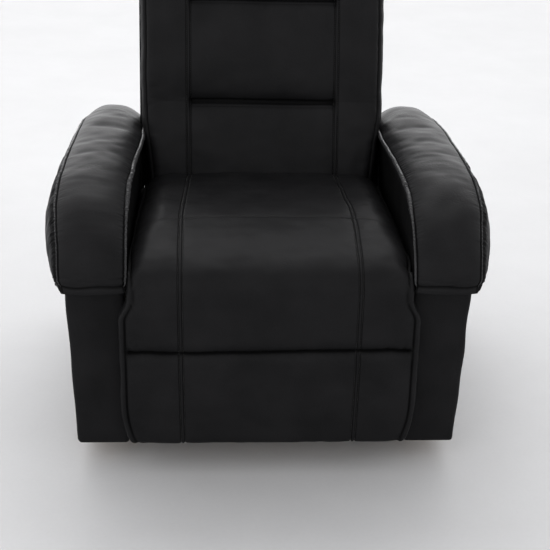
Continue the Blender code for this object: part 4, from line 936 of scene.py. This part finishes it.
def buildPillow(label, side):
    inner, panel, outer = (pillow[key] for key in ("inner", "panel", "outer"))
    seams, whole = (inner, inner + panel), inner + panel + outer
    total = pillowFrames(np.zeros(1))["total"]
    noseS = total * pillow["noseShare"]
    seed = 40 if side > 0 else 70
    coarse = (spreadSteps(0, total, pillow["coarse"]), spreadSteps(0, whole, pillow["coarse"]))
    sFine = spreadSteps(0, total, pillow["rowSteps"], (noseS,))
    vFine = spreadSteps(0, whole, pillow["columnSteps"], (*seams, whole - pillow["hemFine"]))
    rows, across = coarse[0][:, None], coarse[1][None, :]
    held = highest(
        1.0 * (across < 0.012),
        *(0.9 * (np.abs(across - line) < pillow["pin"]) for line in (*seams, whole - pillow["hemPin"])),
        1.0 * (across > whole - pillow["end"]),
        1.0 * ((rows < pillow["end"]) | (rows > total - 0.010)),
    )
    grid = pillowGrid(sFine, vFine)
    grid += clothShift(pillowGrid, coarse, (sFine, vFine), held, pillow["cloth"])
    normal = outwardNormals(grid, pillow["cloth"]["centre"])

    # Grooves beside both seams, gathers that are strongest near the nose, and a tied hem.
    s, v = sFine[:, None], vFine[None, :]
    spot = np.stack(np.broadcast_arrays(s, v), -1)
    fromInner, fromOuter = v - seams[0], v - seams[1]
    groove = creases(fromInner, pillow["innerSeam"]) + creases(fromOuter, pillow["outerSeam"])
    names = ("pleat", "small", "fold")
    pleat, small, fold = (gathers(spot, name, seed + step) for step, name in enumerate(names))
    bands = creases(fromInner, pillow["innerBand"]) + creases(fromOuter, pillow["outerBand"])
    gather = pleat * pillow["pleatHeight"] + small * pillow["smallHeight"]
    gather = gather * gathering(s, noseS) * bands
    patch = np.clip(softNoise(spot, 0.16, seed + 3) * 0.6 + 0.35, 0, 1)
    fold = fold * pillow["foldHeight"] * patch * easeStep(v, inner, inner + 0.03)
    wave = waves(spot, ((0.12, seed + 4, 0.0008), (0.05, seed + 5, 0.0002)))
    sway = pillow["hemSway"] * np.sin(grid[..., 0] * 75 + grid[..., 1] * 40)
    hemDistance = grid[..., 2] - pillow["hemZ"] - sway
    lower = easeStep(v, seams[0] - 0.01, seams[0] + 0.005)
    hemGather = pleat * 0.0005 * hill(hemDistance - 0.010, 0.012)
    hem = (creases(hemDistance, pillow["hemSeam"]) + hemGather) * lower
    rim = easeStep(v, 0.002, 0.020) * easeStep(whole - v, 0.002, 0.010) * easeStep(total - s, 0.001, 0.008)
    grid = grid + normal * ((groove + gather + fold + wave + hem) * rim)[..., None]
    onNose = easeStep(s - noseS, -0.04, 0.01)
    # Painted shade beside the seams and hem, dark down the inner wall below the inner seam, and over a strip
    # below the outer seam on the nose.
    near = highest(
        hill(fromInner - 0.0022, 0.0024),
        hill(fromOuter + 0.0022, 0.0020),
        hill(hemDistance, 0.0024) * lower,
        0.95 * easeStep(seams[0] - v, 0.004, 0.010),
        0.75 * onNose * easeStep(fromOuter, 0.0, 0.003) * easeStep(-fromOuter, -pillow["strip"], -0.010),
    )

    # The hidden return: up the outside of the arm, over its top and down its inside.
    back = pillowFrames(sFine)
    innerX, outerX = pillow["underX"]
    under = np.zeros((len(sFine), 4, 3))
    under[:, :2, 0] = np.minimum(outerX, np.abs(grid[:, -1, 0]) - 0.0015)[:, None]
    under[:, 2:, 0] = innerX
    under[:, ::3, 1:] = (back["hem"] + (0, pillow["hemLift"]))[:, None, :]
    under[:, 1:3, 1:] = back["return"][:, None, :]
    mirror = np.array([side, 1, 1])
    cover = leatherPiece(f"armPillow{label}", grid * mirror, near, under * mirror)

    pieces = [cover]
    for name, seam, tilt in (("Inner", seams[0], -0.75), ("Outer", seams[1], 0.75)):
        column = int(np.argmin(np.abs(vFine - seam)))
        begin, size = pillow["weltStarts"][name], pillow["welts"][name]
        arrow = normal[:, column] * 0.8 + (tilt, 0, 0)
        arrow /= np.linalg.norm(arrow, axis=1, keepdims=True)
        path, arrows, run = resampleLine(grid[begin:-6, column], arrow[begin:-6], pillow["weltPitch"])
        share = np.interp(run, [0, run[-1]], [sFine[begin], sFine[-6]])[:, None]
        ruffle = softNoise(share, pillow["ruffle"], seed + 8)[:, None] * gathering(share, noseS)
        sway = softNoise(share, pillow["sway"], seed + 9)[:, None] * gathering(share, noseS)
        turn = np.linspace(0, 2 * np.pi, 12, endpoint=False)
        ends = np.minimum(1, np.minimum(run, run[-1] - run) / pillow["weltEnd"])[:, None]
        slim = 1 - pillow["slimNose"] * easeStep(share - noseS, -0.03, 0.06)
        tall = (size[0] + pillow["ruffleTall"] * ruffle) * (0.35 + 0.65 * ends) * slim
        wide = (size[1] + pillow["ruffleWide"] * ruffle) * slim
        outwards = tall * np.cos(turn) + 0.4 * size[0]
        aside = pillow["swayAside"] * sway + pillow["ruffleAside"] * ruffle
        sideways = wide * np.sin(turn) + aside * (1 + np.cos(turn)) / 2
        profile = np.stack([outwards, sideways], -1)
        name = f"pillowWelt{name}{label}"
        # The welts take the lighter leather, a painted highlight.
        pieces.append(tubeAlong(name, path * mirror, arrows * mirror, profile, weltPaintedLightLeather))
    for piece in pieces:
        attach(piece, "base")
    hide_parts(f"arm_pillow_{label.lower()}")
    print("stage: arm pillow", label, len(cover.data.polygons), "faces")


# Arm panels: a thin padded cover down over each timber frame, open below
armPanel = {
    "radius": 0.0085, "wall": 0.0052, "swell": 0.0014, "most": 0.0022, "footWidth": 0.104, "topRound": 0.0105,
    "topGap": 0.0115, "ringStep": 0.0060, "rowSteps": (0.0070, 0.0018, 0.010), "seamBack": 0.017,
    "seamDepth": 0.0015, "seamWidth": 0.0030, "footDraw": 0.0016,
}


def buildArmPanel(label, side):
    low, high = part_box(f"arm_cover_{label.lower()}")
    nearX, farX = sorted((abs(low.x), abs(high.x)))
    footX = nearX + armPanel["footWidth"]
    ring, arrow, along = makeRing((nearX, low.y), (footX, high.y), armPanel["radius"], armPanel["ringStep"])
    z = spreadSteps(low.z, high.z - armPanel["topGap"], armPanel["rowSteps"], (low.z,))
    height = ((z - low.z) / (high.z - low.z))[:, None]
    place = np.concatenate([ring[None].repeat(len(z), 0), z[:, None, None] * np.ones((1, len(ring), 1))], -1)
    place[..., 0] += (farX - footX) * height * np.clip((ring[:, 0] - nearX) / armPanel["footWidth"], 0, 1)
    outward = np.concatenate([arrow, np.zeros((len(ring), 1))], -1)
    bulge = (1 - (2 * along - 1) ** 6) * (along > 0) * np.sin(np.pi * np.clip(height, 0.02, 1)) ** 0.5
    seed = 90 if side > 0 else 95
    noises = waves(place, ((0.13, seed, 0.0008),)) + waves(place * (1, 1, 0.35), ((0.035, seed + 1, 0.0003),))
    corner = 1 - np.clip(np.abs(arrow).max(-1) - 0.7, 0, 0.3) / 0.3
    pull = softNoise(place * (0.3, 0.3, 1.0), 0.022, seed + 2) * 0.0004 * corner
    fromEnd = np.minimum(place[..., 1] - low.y, high.y - place[..., 1]) - armPanel["seamBack"]
    seam = (outward[:, 0] > 0.95) * hill(fromEnd, armPanel["seamWidth"])
    foot = easeStep(z - low.z, 0.0, 0.007)[:, None]
    move = armPanel["swell"] * bulge - armPanel["seamDepth"] * seam + (noises + pull) * foot
    move = move - armPanel["footDraw"] * (1 - foot) ** 2
    outer = place + outward[None] * np.minimum(move, armPanel["most"])[..., None]
    # The top edge rolls over a quarter turn, and ends in a flat face under the pillow.
    turn = np.linspace(0, np.pi / 2, 6)[1:, None, None]
    rolled = outer[-1][None] - outward[None] * armPanel["topRound"] * (1 - np.cos(turn))
    rolled = rolled + np.array([0, 0, armPanel["topRound"]]) * np.sin(turn)
    wall = armPanel["wall"]
    top = place[-1] * (1, 1, 0) - outward * wall + (0, 0, high.z - wall)
    rim = place[0] - outward * wall
    whole = np.concatenate([top[None], rim[None], outer, rolled], axis=0)
    # Painted shade in the seam groove near each end.
    near = np.pad(seam, ((2, len(rolled)), (0, 0)))
    cover = leatherPiece(f"armPanel{label}", whole * np.array([side, 1, 1]), near)
    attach(cover, "base")
    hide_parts(f"arm_cover_{label.lower()}")
    print("stage: arm panel", label, len(cover.data.polygons), "faces")


for build in (buildPillow, buildArmPanel):
    for sideLabel, sideSign in (("Left", -1), ("Right", 1)):
        build(sideLabel, sideSign)


# Backrest: a tufted cushion in three sections, and a cover behind it with an open foot. Its own
# coordinates are across, ahead and up along the lean, from the back's pivot.
backPivot = np.array([joint for joint in frame["joints"] if joint["child"] == "backrest"][0]["pos_m"])
lean = math.radians(15.0)
backUp = np.array([0, math.sin(lean), math.cos(lean)])
backAhead = np.array([0, -math.cos(lean), math.sin(lean)])
backAxes = np.array([[1, 0, 0], backAhead, backUp])
backrest = {
    "half": 0.2720, "edge": 0.030, "side": 0.026, "face": 0.0820, "rear": -0.0022, "foot": 0.0460,
    "top": 0.7150, "footRound": 0.026, "topRound": 0.034, "lumbar": 0.273, "head": 0.500,
    "swell": (0.010, 0.011, 0.014), "seamX": 0.1650, "seamGap": 0.0042, "piping": 0.010,
    "cornerRound": 0.055, "cornerStart": 0.048, "waist": 0.016, "pin": 0.0052, "end": 0.006,
    "coarse": (0.0075,), "rowSteps": (0.0050, 0.0014, 0.012), "columnSteps": (0.0055, 0.0012, 0.009),
    "double": ((-0.0024, 0.0042, 0.0015), (0.0008, 0, 0.0024), (-0.0030, 0, 0.018)),
    "tuck": ((-0.0060, 0, 0.0026), (-0.0060, 0, 0.012), (-0.0040, 0, 0.035), (-0.0012, -0.0105, 0.0013)),
    "pipe": ((-0.0026, 0, 0.0018), (-0.0018, 0, 0.009), (0.0012, 0.006, 0.0035)),
    "waves": ((0.14, 121, 0.0011), (0.05, 122, 0.0004)),
    "cloth": {"stiffness": 6.0, "bending": 0.35, "slack": 0.014, "pressure": 3.5, "cap": 0.006,
              "passes": 5, "centre": (0, 0.03, 0.4)},
}


def backToModel(grid):
    # From (across, ahead, up the lean) to the model's frame.
    return grid @ backAxes + backPivot * (0, 1, 1)


def backLines(count=900):
    # Side view of the cushion: up its face from the rounded foot, over the rounded top and back.
    # Beside it runs the hidden rear line that each point is joined to.
    face, rear, foot, top = (backrest[key] for key in ("face", "rear", "foot", "top"))
    low, high = backrest["footRound"], backrest["topRound"]
    turn = np.linspace(0, np.pi / 2, 24)
    corner = np.stack([face - low + low * np.sin(turn), foot + low - low * np.cos(turn)], -1)
    crown = np.stack([face - high + high * np.cos(turn), top - high + high * np.sin(turn)], -1)
    out = np.vstack([[[rear + 0.006, foot]], corner, crown, [[rear + 0.006, top]]])
    up = [[foot + 0.004], foot + 0.006 + turn * 0.02, top - 0.06 + turn * 0.033, [top - 0.004]]
    inner = np.stack([np.full(len(out), rear), np.concatenate(up)], -1)
    return evenPair(out, inner, count)


backPlaces, backOut, backInner = backLines()
backReach = slabReach(backrest["half"], backrest["edge"], backrest["side"])


def backGrid(s, u):
    # The cushion's sheet: a slab along the side view, narrower at its waist and round at its top
    # corners, with a swell on each section that falls with the square of the share across.
    outAt, innerAt = (pointsAt(s, backPlaces, line) for line in (backOut, backInner))
    grid, share, across = slabSheet(outAt, innerAt, u, backrest["half"], backrest["edge"], backReach)
    wide, up = np.abs(grid[..., 0]), grid[..., 2]
    middle = backrest["half"] - backrest["cornerRound"]
    over = np.clip(up - (backrest["top"] - backrest["cornerStart"]), 0, None)
    narrow = np.sqrt(np.clip(1 - (over / backrest["cornerRound"]) ** 2, 0.05, 1))
    x = np.minimum(wide, middle) + np.clip(wide - middle, 0, None) * narrow
    x = x - backrest["waist"] * (1 - easeStep(up, 0.10, 0.27)) * easeStep(wide, 0.16, 0.27)
    grid[..., 0] = np.sign(grid[..., 0]) * x
    front = np.clip(1 - share * 2.2, 0, 1) * easeStep(grid[..., 1], 0.02, 0.07)
    level = outAt[:, 1:]
    ends = [backrest[key] for key in ("foot", "lumbar", "head", "top")]
    swell = 0.0
    for low, high, amount in zip(ends, ends[1:], backrest["swell"]):
        swell = swell + amount * np.sin(np.pi * np.clip((level - low) / (high - low), 0, 1)) ** 0.8
    grid[..., 1] += swell * front * (1 - 0.55 * across ** 2)
    return grid


def buildBack():
    total, uMax, seamX = backPlaces[-1], backReach, backrest["seamX"]
    face = backOut[: len(backOut) * 3 // 4, 1]
    levels = [float(backPlaces[np.argmin(np.abs(face - backrest[key]))]) for key in ("lumbar", "head")]
    pipeU = backrest["half"] - backrest["piping"]
    pin, end = backrest["pin"], backrest["end"]
    coarse = (spreadSteps(0, total, backrest["coarse"]), spreadSteps(-uMax, uMax, backrest["coarse"]))
    sFine = spreadSteps(0, total, backrest["rowSteps"], levels)
    uFine = spreadSteps(-uMax, uMax, backrest["columnSteps"], (-pipeU, -seamX, seamX, pipeU))
    rows, across = coarse[0][:, None], np.abs(coarse[1])[None, :]
    held = highest(
        *(0.9 * (np.abs(across - line) < pin) for line in (seamX, pipeU)),
        *(1.0 * (np.abs(rows - level) < pin) * (across < seamX + 0.003) for level in levels),
        1.0 * (across > uMax - end),
        1.0 * ((rows < end) | (rows > total - end)),
    )
    grid = backGrid(sFine, uFine)
    grid += clothShift(backGrid, coarse, (sFine, uFine), held, backrest["cloth"])
    normal = outwardNormals(grid, backrest["cloth"]["centre"])

    # Double seams down the face, two deep tufted tucks across, piping round the edge, and soft waves.
    s, u = sFine[:, None], np.abs(uFine)[None, :]
    spot = np.stack(np.broadcast_arrays(s, uFine[None, :]), -1)
    around = np.abs(u - seamX)
    between = easeStep(seamX - u, -0.002, 0.004)
    tucks, nearTuck = 0.0, 0.0
    for level in levels:
        wavy = s - level + 0.0012 * np.sin(uFine[None, :] * 14)
        gather = softNoise(spot * (0.2, 1.0), 0.016, 120) * 0.0003 * hill(wavy, 0.03)
        tucks = tucks + (creases(wavy, backrest["tuck"]) + gather) * between
        nearTuck = highest(nearTuck, hill(wavy, 0.006) * between, 0.6 * hill(wavy + 0.0105, 0.0014) * between)
    pipe = creases(u - pipeU, backrest["pipe"])
    puckerAt = hill(u - pipeU + 0.008, 0.016) + 0.6 * hill(around, 0.02)
    pucker = softNoise(spot * (1.0, 0.25), 0.013, 123) * 0.0005 * puckerAt
    moves = creases(around, backrest["double"]) + tucks + pipe + waves(spot, backrest["waves"]) + pucker
    rim = easeStep(uMax - u, 0.003, 0.012) * easeStep(s, 0.002, 0.02) * easeStep(total - s, 0.002, 0.02)
    grid = grid + normal * (moves * rim)[..., None]
    # Painted shade beside the double seams, in the tucks and along the piping.
    near = highest(hill(around - backrest["seamGap"], 0.0018), nearTuck, hill(u - pipeU, 0.0022))
    under = np.zeros((len(sFine), 5, 3))
    under[..., 0] = np.linspace(1, -1, 5) * (np.abs(grid[:, -1:, 0]) - 0.004)
    under[..., 1:] = pointsAt(sFine, backPlaces, backInner)[:, None, :]
    cover = leatherPiece("backCushion", backToModel(grid), near, backToModel(under))
    columns = seamColumns(uFine, seamX, backrest["seamGap"])
    lines = [(backToModel(grid[6:-6, column]), normal[6:-6, column] @ backAxes) for column in columns]
    stitches = stitchRun(lines, backStitch, "backStitching")
    for piece in (cover, stitches):
        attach(piece, "backrest")
    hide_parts("back_cushion")
    print("stage: back cushion,", len(cover.data.polygons), "faces")


buildBack()


backCover = {
    "half": 0.2778, "edge": 0.028, "side": 0.050, "depth": 0.0945, "front": -0.0010, "foot": 0.0702,
    "top": 0.7030, "topRound": 0.035, "wall": 0.0034, "sideSeam": 0.019, "yoke": 0.560, "hem": 0.020,
    "slack": 0.0035, "rowSteps": (0.0075, 0.0014, 0.007), "columnSteps": (0.0085, 0.0013, 0.007),
    "sideDepth": 0.0022, "lineDepth": 0.0020, "centre": (0, -0.02, 0.35),
    "waves": ((0.17, 140, 0.0009), (0.05, 141, 0.0003)),
}


def coverLines(count=500):
    # Side view of the rear cover: up its rear face, over a round top and forward to the cushion. The
    # line beside it is the cover's open front edge, which each point's side runs to.
    rear, front, foot, top = -backCover["depth"], backCover["front"], backCover["foot"], backCover["top"]
    radius = backCover["topRound"]
    turn = np.linspace(0, np.pi / 2, 20)
    arc = np.stack([rear + radius * (1 - np.cos(turn)), top - radius + radius * np.sin(turn)], -1)
    out = np.vstack([[[rear, foot]], arc, [[front, top]]])
    up = [[foot], top - radius - 0.02 * (1 - turn), [top - radius * 0.9]]
    return evenPair(out, np.stack([np.full(len(out), front), np.concatenate(up)], -1), count)


def buildBackCover():
    # One sheet over the frame's rear, sides and top, with a seam near each corner, a yoke seam across,
    # a hem at its foot, and a wall put on by Solidify.
    places, out, inner = coverLines()
    uMax = slabReach(backCover["half"], backCover["edge"], backCover["side"])
    seamU = backCover["half"] - backCover["sideSeam"]
    yokeS, hemS = backCover["yoke"] - backCover["foot"], backCover["hem"]
    s = spreadSteps(0, places[-1], backCover["rowSteps"], (yokeS, hemS))
    u = spreadSteps(-uMax, uMax, backCover["columnSteps"], (-seamU, seamU))
    outAt, innerAt = (pointsAt(s, places, line) for line in (out, inner))
    grid, _, _ = slabSheet(outAt, innerAt, u, backCover["half"], backCover["edge"], uMax, 0.001)
    normal = outwardNormals(grid, backCover["centre"])
    along, across = s[:, None], np.abs(u)[None, :]
    spot = np.stack(np.broadcast_arrays(along, u[None, :]), -1)
    sides = hill(across - seamU, 0.0016)
    lines = np.maximum(hill(along - yokeS, 0.0016), hill(along - hemS, 0.0014))
    lines = lines * easeStep(seamU - across, -0.001, 0.002)
    pucker = softNoise(spot * (0.25, 1.0), 0.013, 142) * 0.0003 * hill(along - yokeS, 0.02)
    slack = np.sin(np.pi * np.clip(along / yokeS, 0, 1)) * np.cos(np.clip(across / seamU, 0, 1) * np.pi / 2)
    ends = easeStep(along, 0.0, 0.012) * easeStep(places[-1] - along, 0.0, 0.012)
    moves = waves(spot, backCover["waves"]) + pucker + backCover["slack"] * slack
    moves = moves - backCover["sideDepth"] * sides - backCover["lineDepth"] * lines
    grid = grid + normal * (moves * ends * easeStep(uMax - across, 0.0, 0.012))[..., None]
    cover = makeMesh("backCoverShell", backToModel(grid), gridFaces(*grid.shape[:2]).tolist(), leather)
    # Painted shade in the side seams, the yoke seam and the hem line.
    markPaintedShade(cover, highest(sides, lines))
    centre = Vector(backToModel(np.array(backCover["centre"])))
    facing = sum((face.center - centre).dot(face.normal) for face in cover.data.polygons)
    if facing < 0:
        cover.data.flip_normals()
    wall = cover.modifiers.new("wall", "SOLIDIFY")
    wall.thickness = backCover["wall"]
    wall.offset = -1
    inside = np.abs(u) < seamU - 0.006
    rows = [int(np.argmin(np.abs(s - line))) for line in (yokeS + 0.0045, hemS + 0.0040)]
    threads = [(backToModel(grid[row, inside]), normal[row, inside] @ backAxes) for row in rows]
    stitches = stitchRun(threads, backStitch, "backCoverStitching")
    for piece in (cover, stitches):
        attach(piece, "backrest")
    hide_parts("back_cover")
    print("stage: back cover,", len(cover.data.polygons), "faces")


buildBackCover()


rearPanel = {
    "radius": 0.0055, "swell": 0.0022, "seam": 0.020, "seamDepth": 0.0014, "seamWidth": 0.0030,
    "step": 0.0085, "rowSteps": (0.0110, 0.0012, 0.006),
    "waves": ((0.12, 150, 0.0007), (0.035, 151, 0.00025)),
}


def buildRearPanel():
    # A flat upholstered board: a rounded section carried from side to side, with rounded ends, a light
    # swell over its two faces, and a topstitched seam near its upper and lower edges.
    low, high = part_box("rear_panel")
    radius = rearPanel["radius"]
    ring, arrow, along = makeRing((low.y, low.z), (high.y, high.z), radius, rearPanel["step"])
    x = spreadSteps(low.x, high.x, rearPanel["rowSteps"], (low.x, high.x))
    fromEnd = np.clip(np.minimum(x - low.x, high.x - x), 0, radius) / radius
    inset = radius * (1 - np.sqrt(np.clip(1 - (1 - fromEnd) ** 2, 0, 1)))
    place = np.zeros((len(x), len(ring), 3))
    place[..., 0] = x[:, None]
    place[..., 1:] = ring[None] - arrow[None] * inset[:, None, None]
    across = np.clip((x - low.x) / (high.x - low.x), 0, 1)[:, None]
    bulge = (1 - (2 * across - 1) ** 6) * (1 - (2 * along - 1) ** 6) * (along > 0)
    faces = np.abs(arrow[:, 0]) > 0.95
    fromEdge = np.minimum(place[..., 2] - low.z, high.z - place[..., 2]) - rearPanel["seam"]
    seam = hill(fromEdge, rearPanel["seamWidth"]) * faces
    move = rearPanel["swell"] * bulge - rearPanel["seamDepth"] * seam
    move = move + waves(place, rearPanel["waves"]) * faces
    outward = np.concatenate([np.zeros((len(ring), 1)), arrow], -1)
    place = place + outward[None] * (move * np.minimum(fromEnd, 1)[:, None])[..., None]
    # Painted shade in the seam grooves.
    panel = leatherPiece("rearPanelLeather", place, seam)
    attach(panel, "base")
    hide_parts("rear_panel")
    print("stage: rear panel,", len(panel.data.polygons), "faces")


buildRearPanel()


# Floor, light and camera
studio = {
    "floorSize": 14.0, "floorTone": (0.50, 0.50, 0.505), "floorLow": 0.96, "floorHigh": 1.03,
    "cameraPlace": (-0.108, -2.5842, 1.407), "yaw": 3.03, "pitch": 24.02, "roll": 1.21,
    "sensor": 36.0, "focalShare": 1257.0 / 550.0,
}


def buildFloor():
    # A pale floor with a faint mottle.
    material, shader = newMaterial("paleFloor", 0.62, **{"Specular IOR Level": 0.25})
    mottle = noise(material, objectSpot(material), 2.4, 8.0, {"Roughness": 0.7})
    speck = noise(material, objectSpot(material), 130.0, 3.0)
    both = weighted(material, mottle, 0.75, speck, 0.25)
    low = tuple(value * studio["floorLow"] for value in studio["floorTone"])
    high = tuple(value * studio["floorHigh"] for value in studio["floorTone"])
    colour = ramp(material, both, [(0.35, low), (0.65, high)])
    finishShader(material, shader, colour, None, [(both, 0.1, 0.001)])
    corners = np.array([[-1, -1, 0], [1, -1, 0], [1, 1, 0], [-1, 1, 0]]) * studio["floorSize"] / 2
    floor = makeMesh("studioFloor", corners, [[0, 1, 2, 3]], material)


def areaLight(name, place, aim, width, height, power):
    # A white rectangle of light at a place, which faces its aim.
    light = bpy.data.lights.new(name, "AREA")
    light.shape = "RECTANGLE"
    light.size = width
    light.size_y = height
    light.energy = power
    lamp = bpy.data.objects.new(name, light)
    bpy.context.scene.collection.objects.link(lamp)
    lamp.location = place
    lamp.rotation_mode = "QUATERNION"
    lamp.rotation_quaternion = (Vector(aim) - Vector(place)).to_track_quat("-Z", "Y")


# The sky's tones by height, from the horizon to straight up, before and behind the chair.
sky = {
    "front": ((0.0, 0.46), (0.35, 0.42), (0.75, 0.30), (1.0, 0.24)),
    "rear": ((0.0, 1.45), (0.30, 1.42), (0.44, 0.66), (0.58, 0.98), (0.72, 1.25), (0.87, 0.46), (1.0, 0.24)),
    "rearStart": -0.05, "rearFull": 0.55, "wide": (0.25, 0.68), "wideKeep": 0.34, "blue": 1.01,
    "leftGain": 0.14, "strength": 3.15,
}


def buildSky():
    # Radiance by direction: dim in front, and behind the chair a bright low band that fades upwards
    # and towards both sides.
    world = bpy.data.worlds.new("studioSky")
    bpy.context.scene.world = world
    world.use_nodes = True
    spot = addNode(world, "ShaderNodeTexCoord").outputs["Generated"]
    split = addNode(world, "ShaderNodeSeparateXYZ", {0: spot})
    height = mathNode(world, "MAXIMUM", split.outputs["Z"], 0.0)
    tones = [
        ramp(world, height, [(place, (tone, tone, tone * sky["blue"])) for place, tone in sky[key]])
        for key in ("front", "rear")
    ]
    behind = rangeNode(world, split.outputs["Y"], 0.0, 1.0, sky["rearStart"], sky["rearFull"])
    aside = mathNode(world, "ABSOLUTE", split.outputs["X"], 0.0)
    share = mathNode(world, "MULTIPLY", behind, rangeNode(world, aside, 1.0, sky["wideKeep"], *sky["wide"]))
    mixed = addNode(world, "ShaderNodeMix", {0: share, 6: tones[0], 7: tones[1]}, data_type="RGBA").outputs[2]
    side = rangeNode(world, split.outputs["X"], 1 + sky["leftGain"], 1 - sky["leftGain"], -1.0, 1.0)
    background = world.node_tree.nodes["Background"]
    fillSocket(world, background.inputs["Color"], mixed)
    fillSocket(world, background.inputs["Strength"], mathNode(world, "MULTIPLY", side, sky["strength"]))


def buildCamera():
    # The photograph's camera: turned by yaw and pitch, then by roll about its own line of sight.
    data = bpy.data.cameras.new("studioCamera")
    data.sensor_width = studio["sensor"]
    data.lens = studio["focalShare"] * studio["sensor"]
    camera = bpy.data.objects.new("studioCamera", data)
    bpy.context.scene.collection.objects.link(camera)
    yaw, pitch, roll = (math.radians(studio[key]) for key in ("yaw", "pitch", "roll"))
    ahead = np.array([math.sin(yaw) * math.cos(pitch), math.cos(yaw) * math.cos(pitch), -math.sin(pitch)])
    right = np.array([math.cos(yaw), -math.sin(yaw), 0.0])
    up = np.cross(right, ahead)
    tiltedRight = right * math.cos(roll) + up * math.sin(roll)
    tiltedUp = up * math.cos(roll) - right * math.sin(roll)
    turn = Matrix([[*row] for row in np.stack([tiltedRight, tiltedUp, -ahead], 1)]).to_4x4()
    turn.translation = studio["cameraPlace"]
    camera.matrix_world = turn
    bpy.context.scene.camera = camera
    bpy.context.scene.view_settings.view_transform = "Standard"


buildFloor()
buildSky()
areaLight("overheadSoftbox", (-0.15, 1.6, 3.2), (-0.05, 1.1, 0.0), 1.6, 1.3, 22)
areaLight("frontFill", (-1.6, -2.6, 2.6), (0, 0, 0.3), 1.6, 1.6, 7)
buildCamera()
print("stage: floor, light and camera")
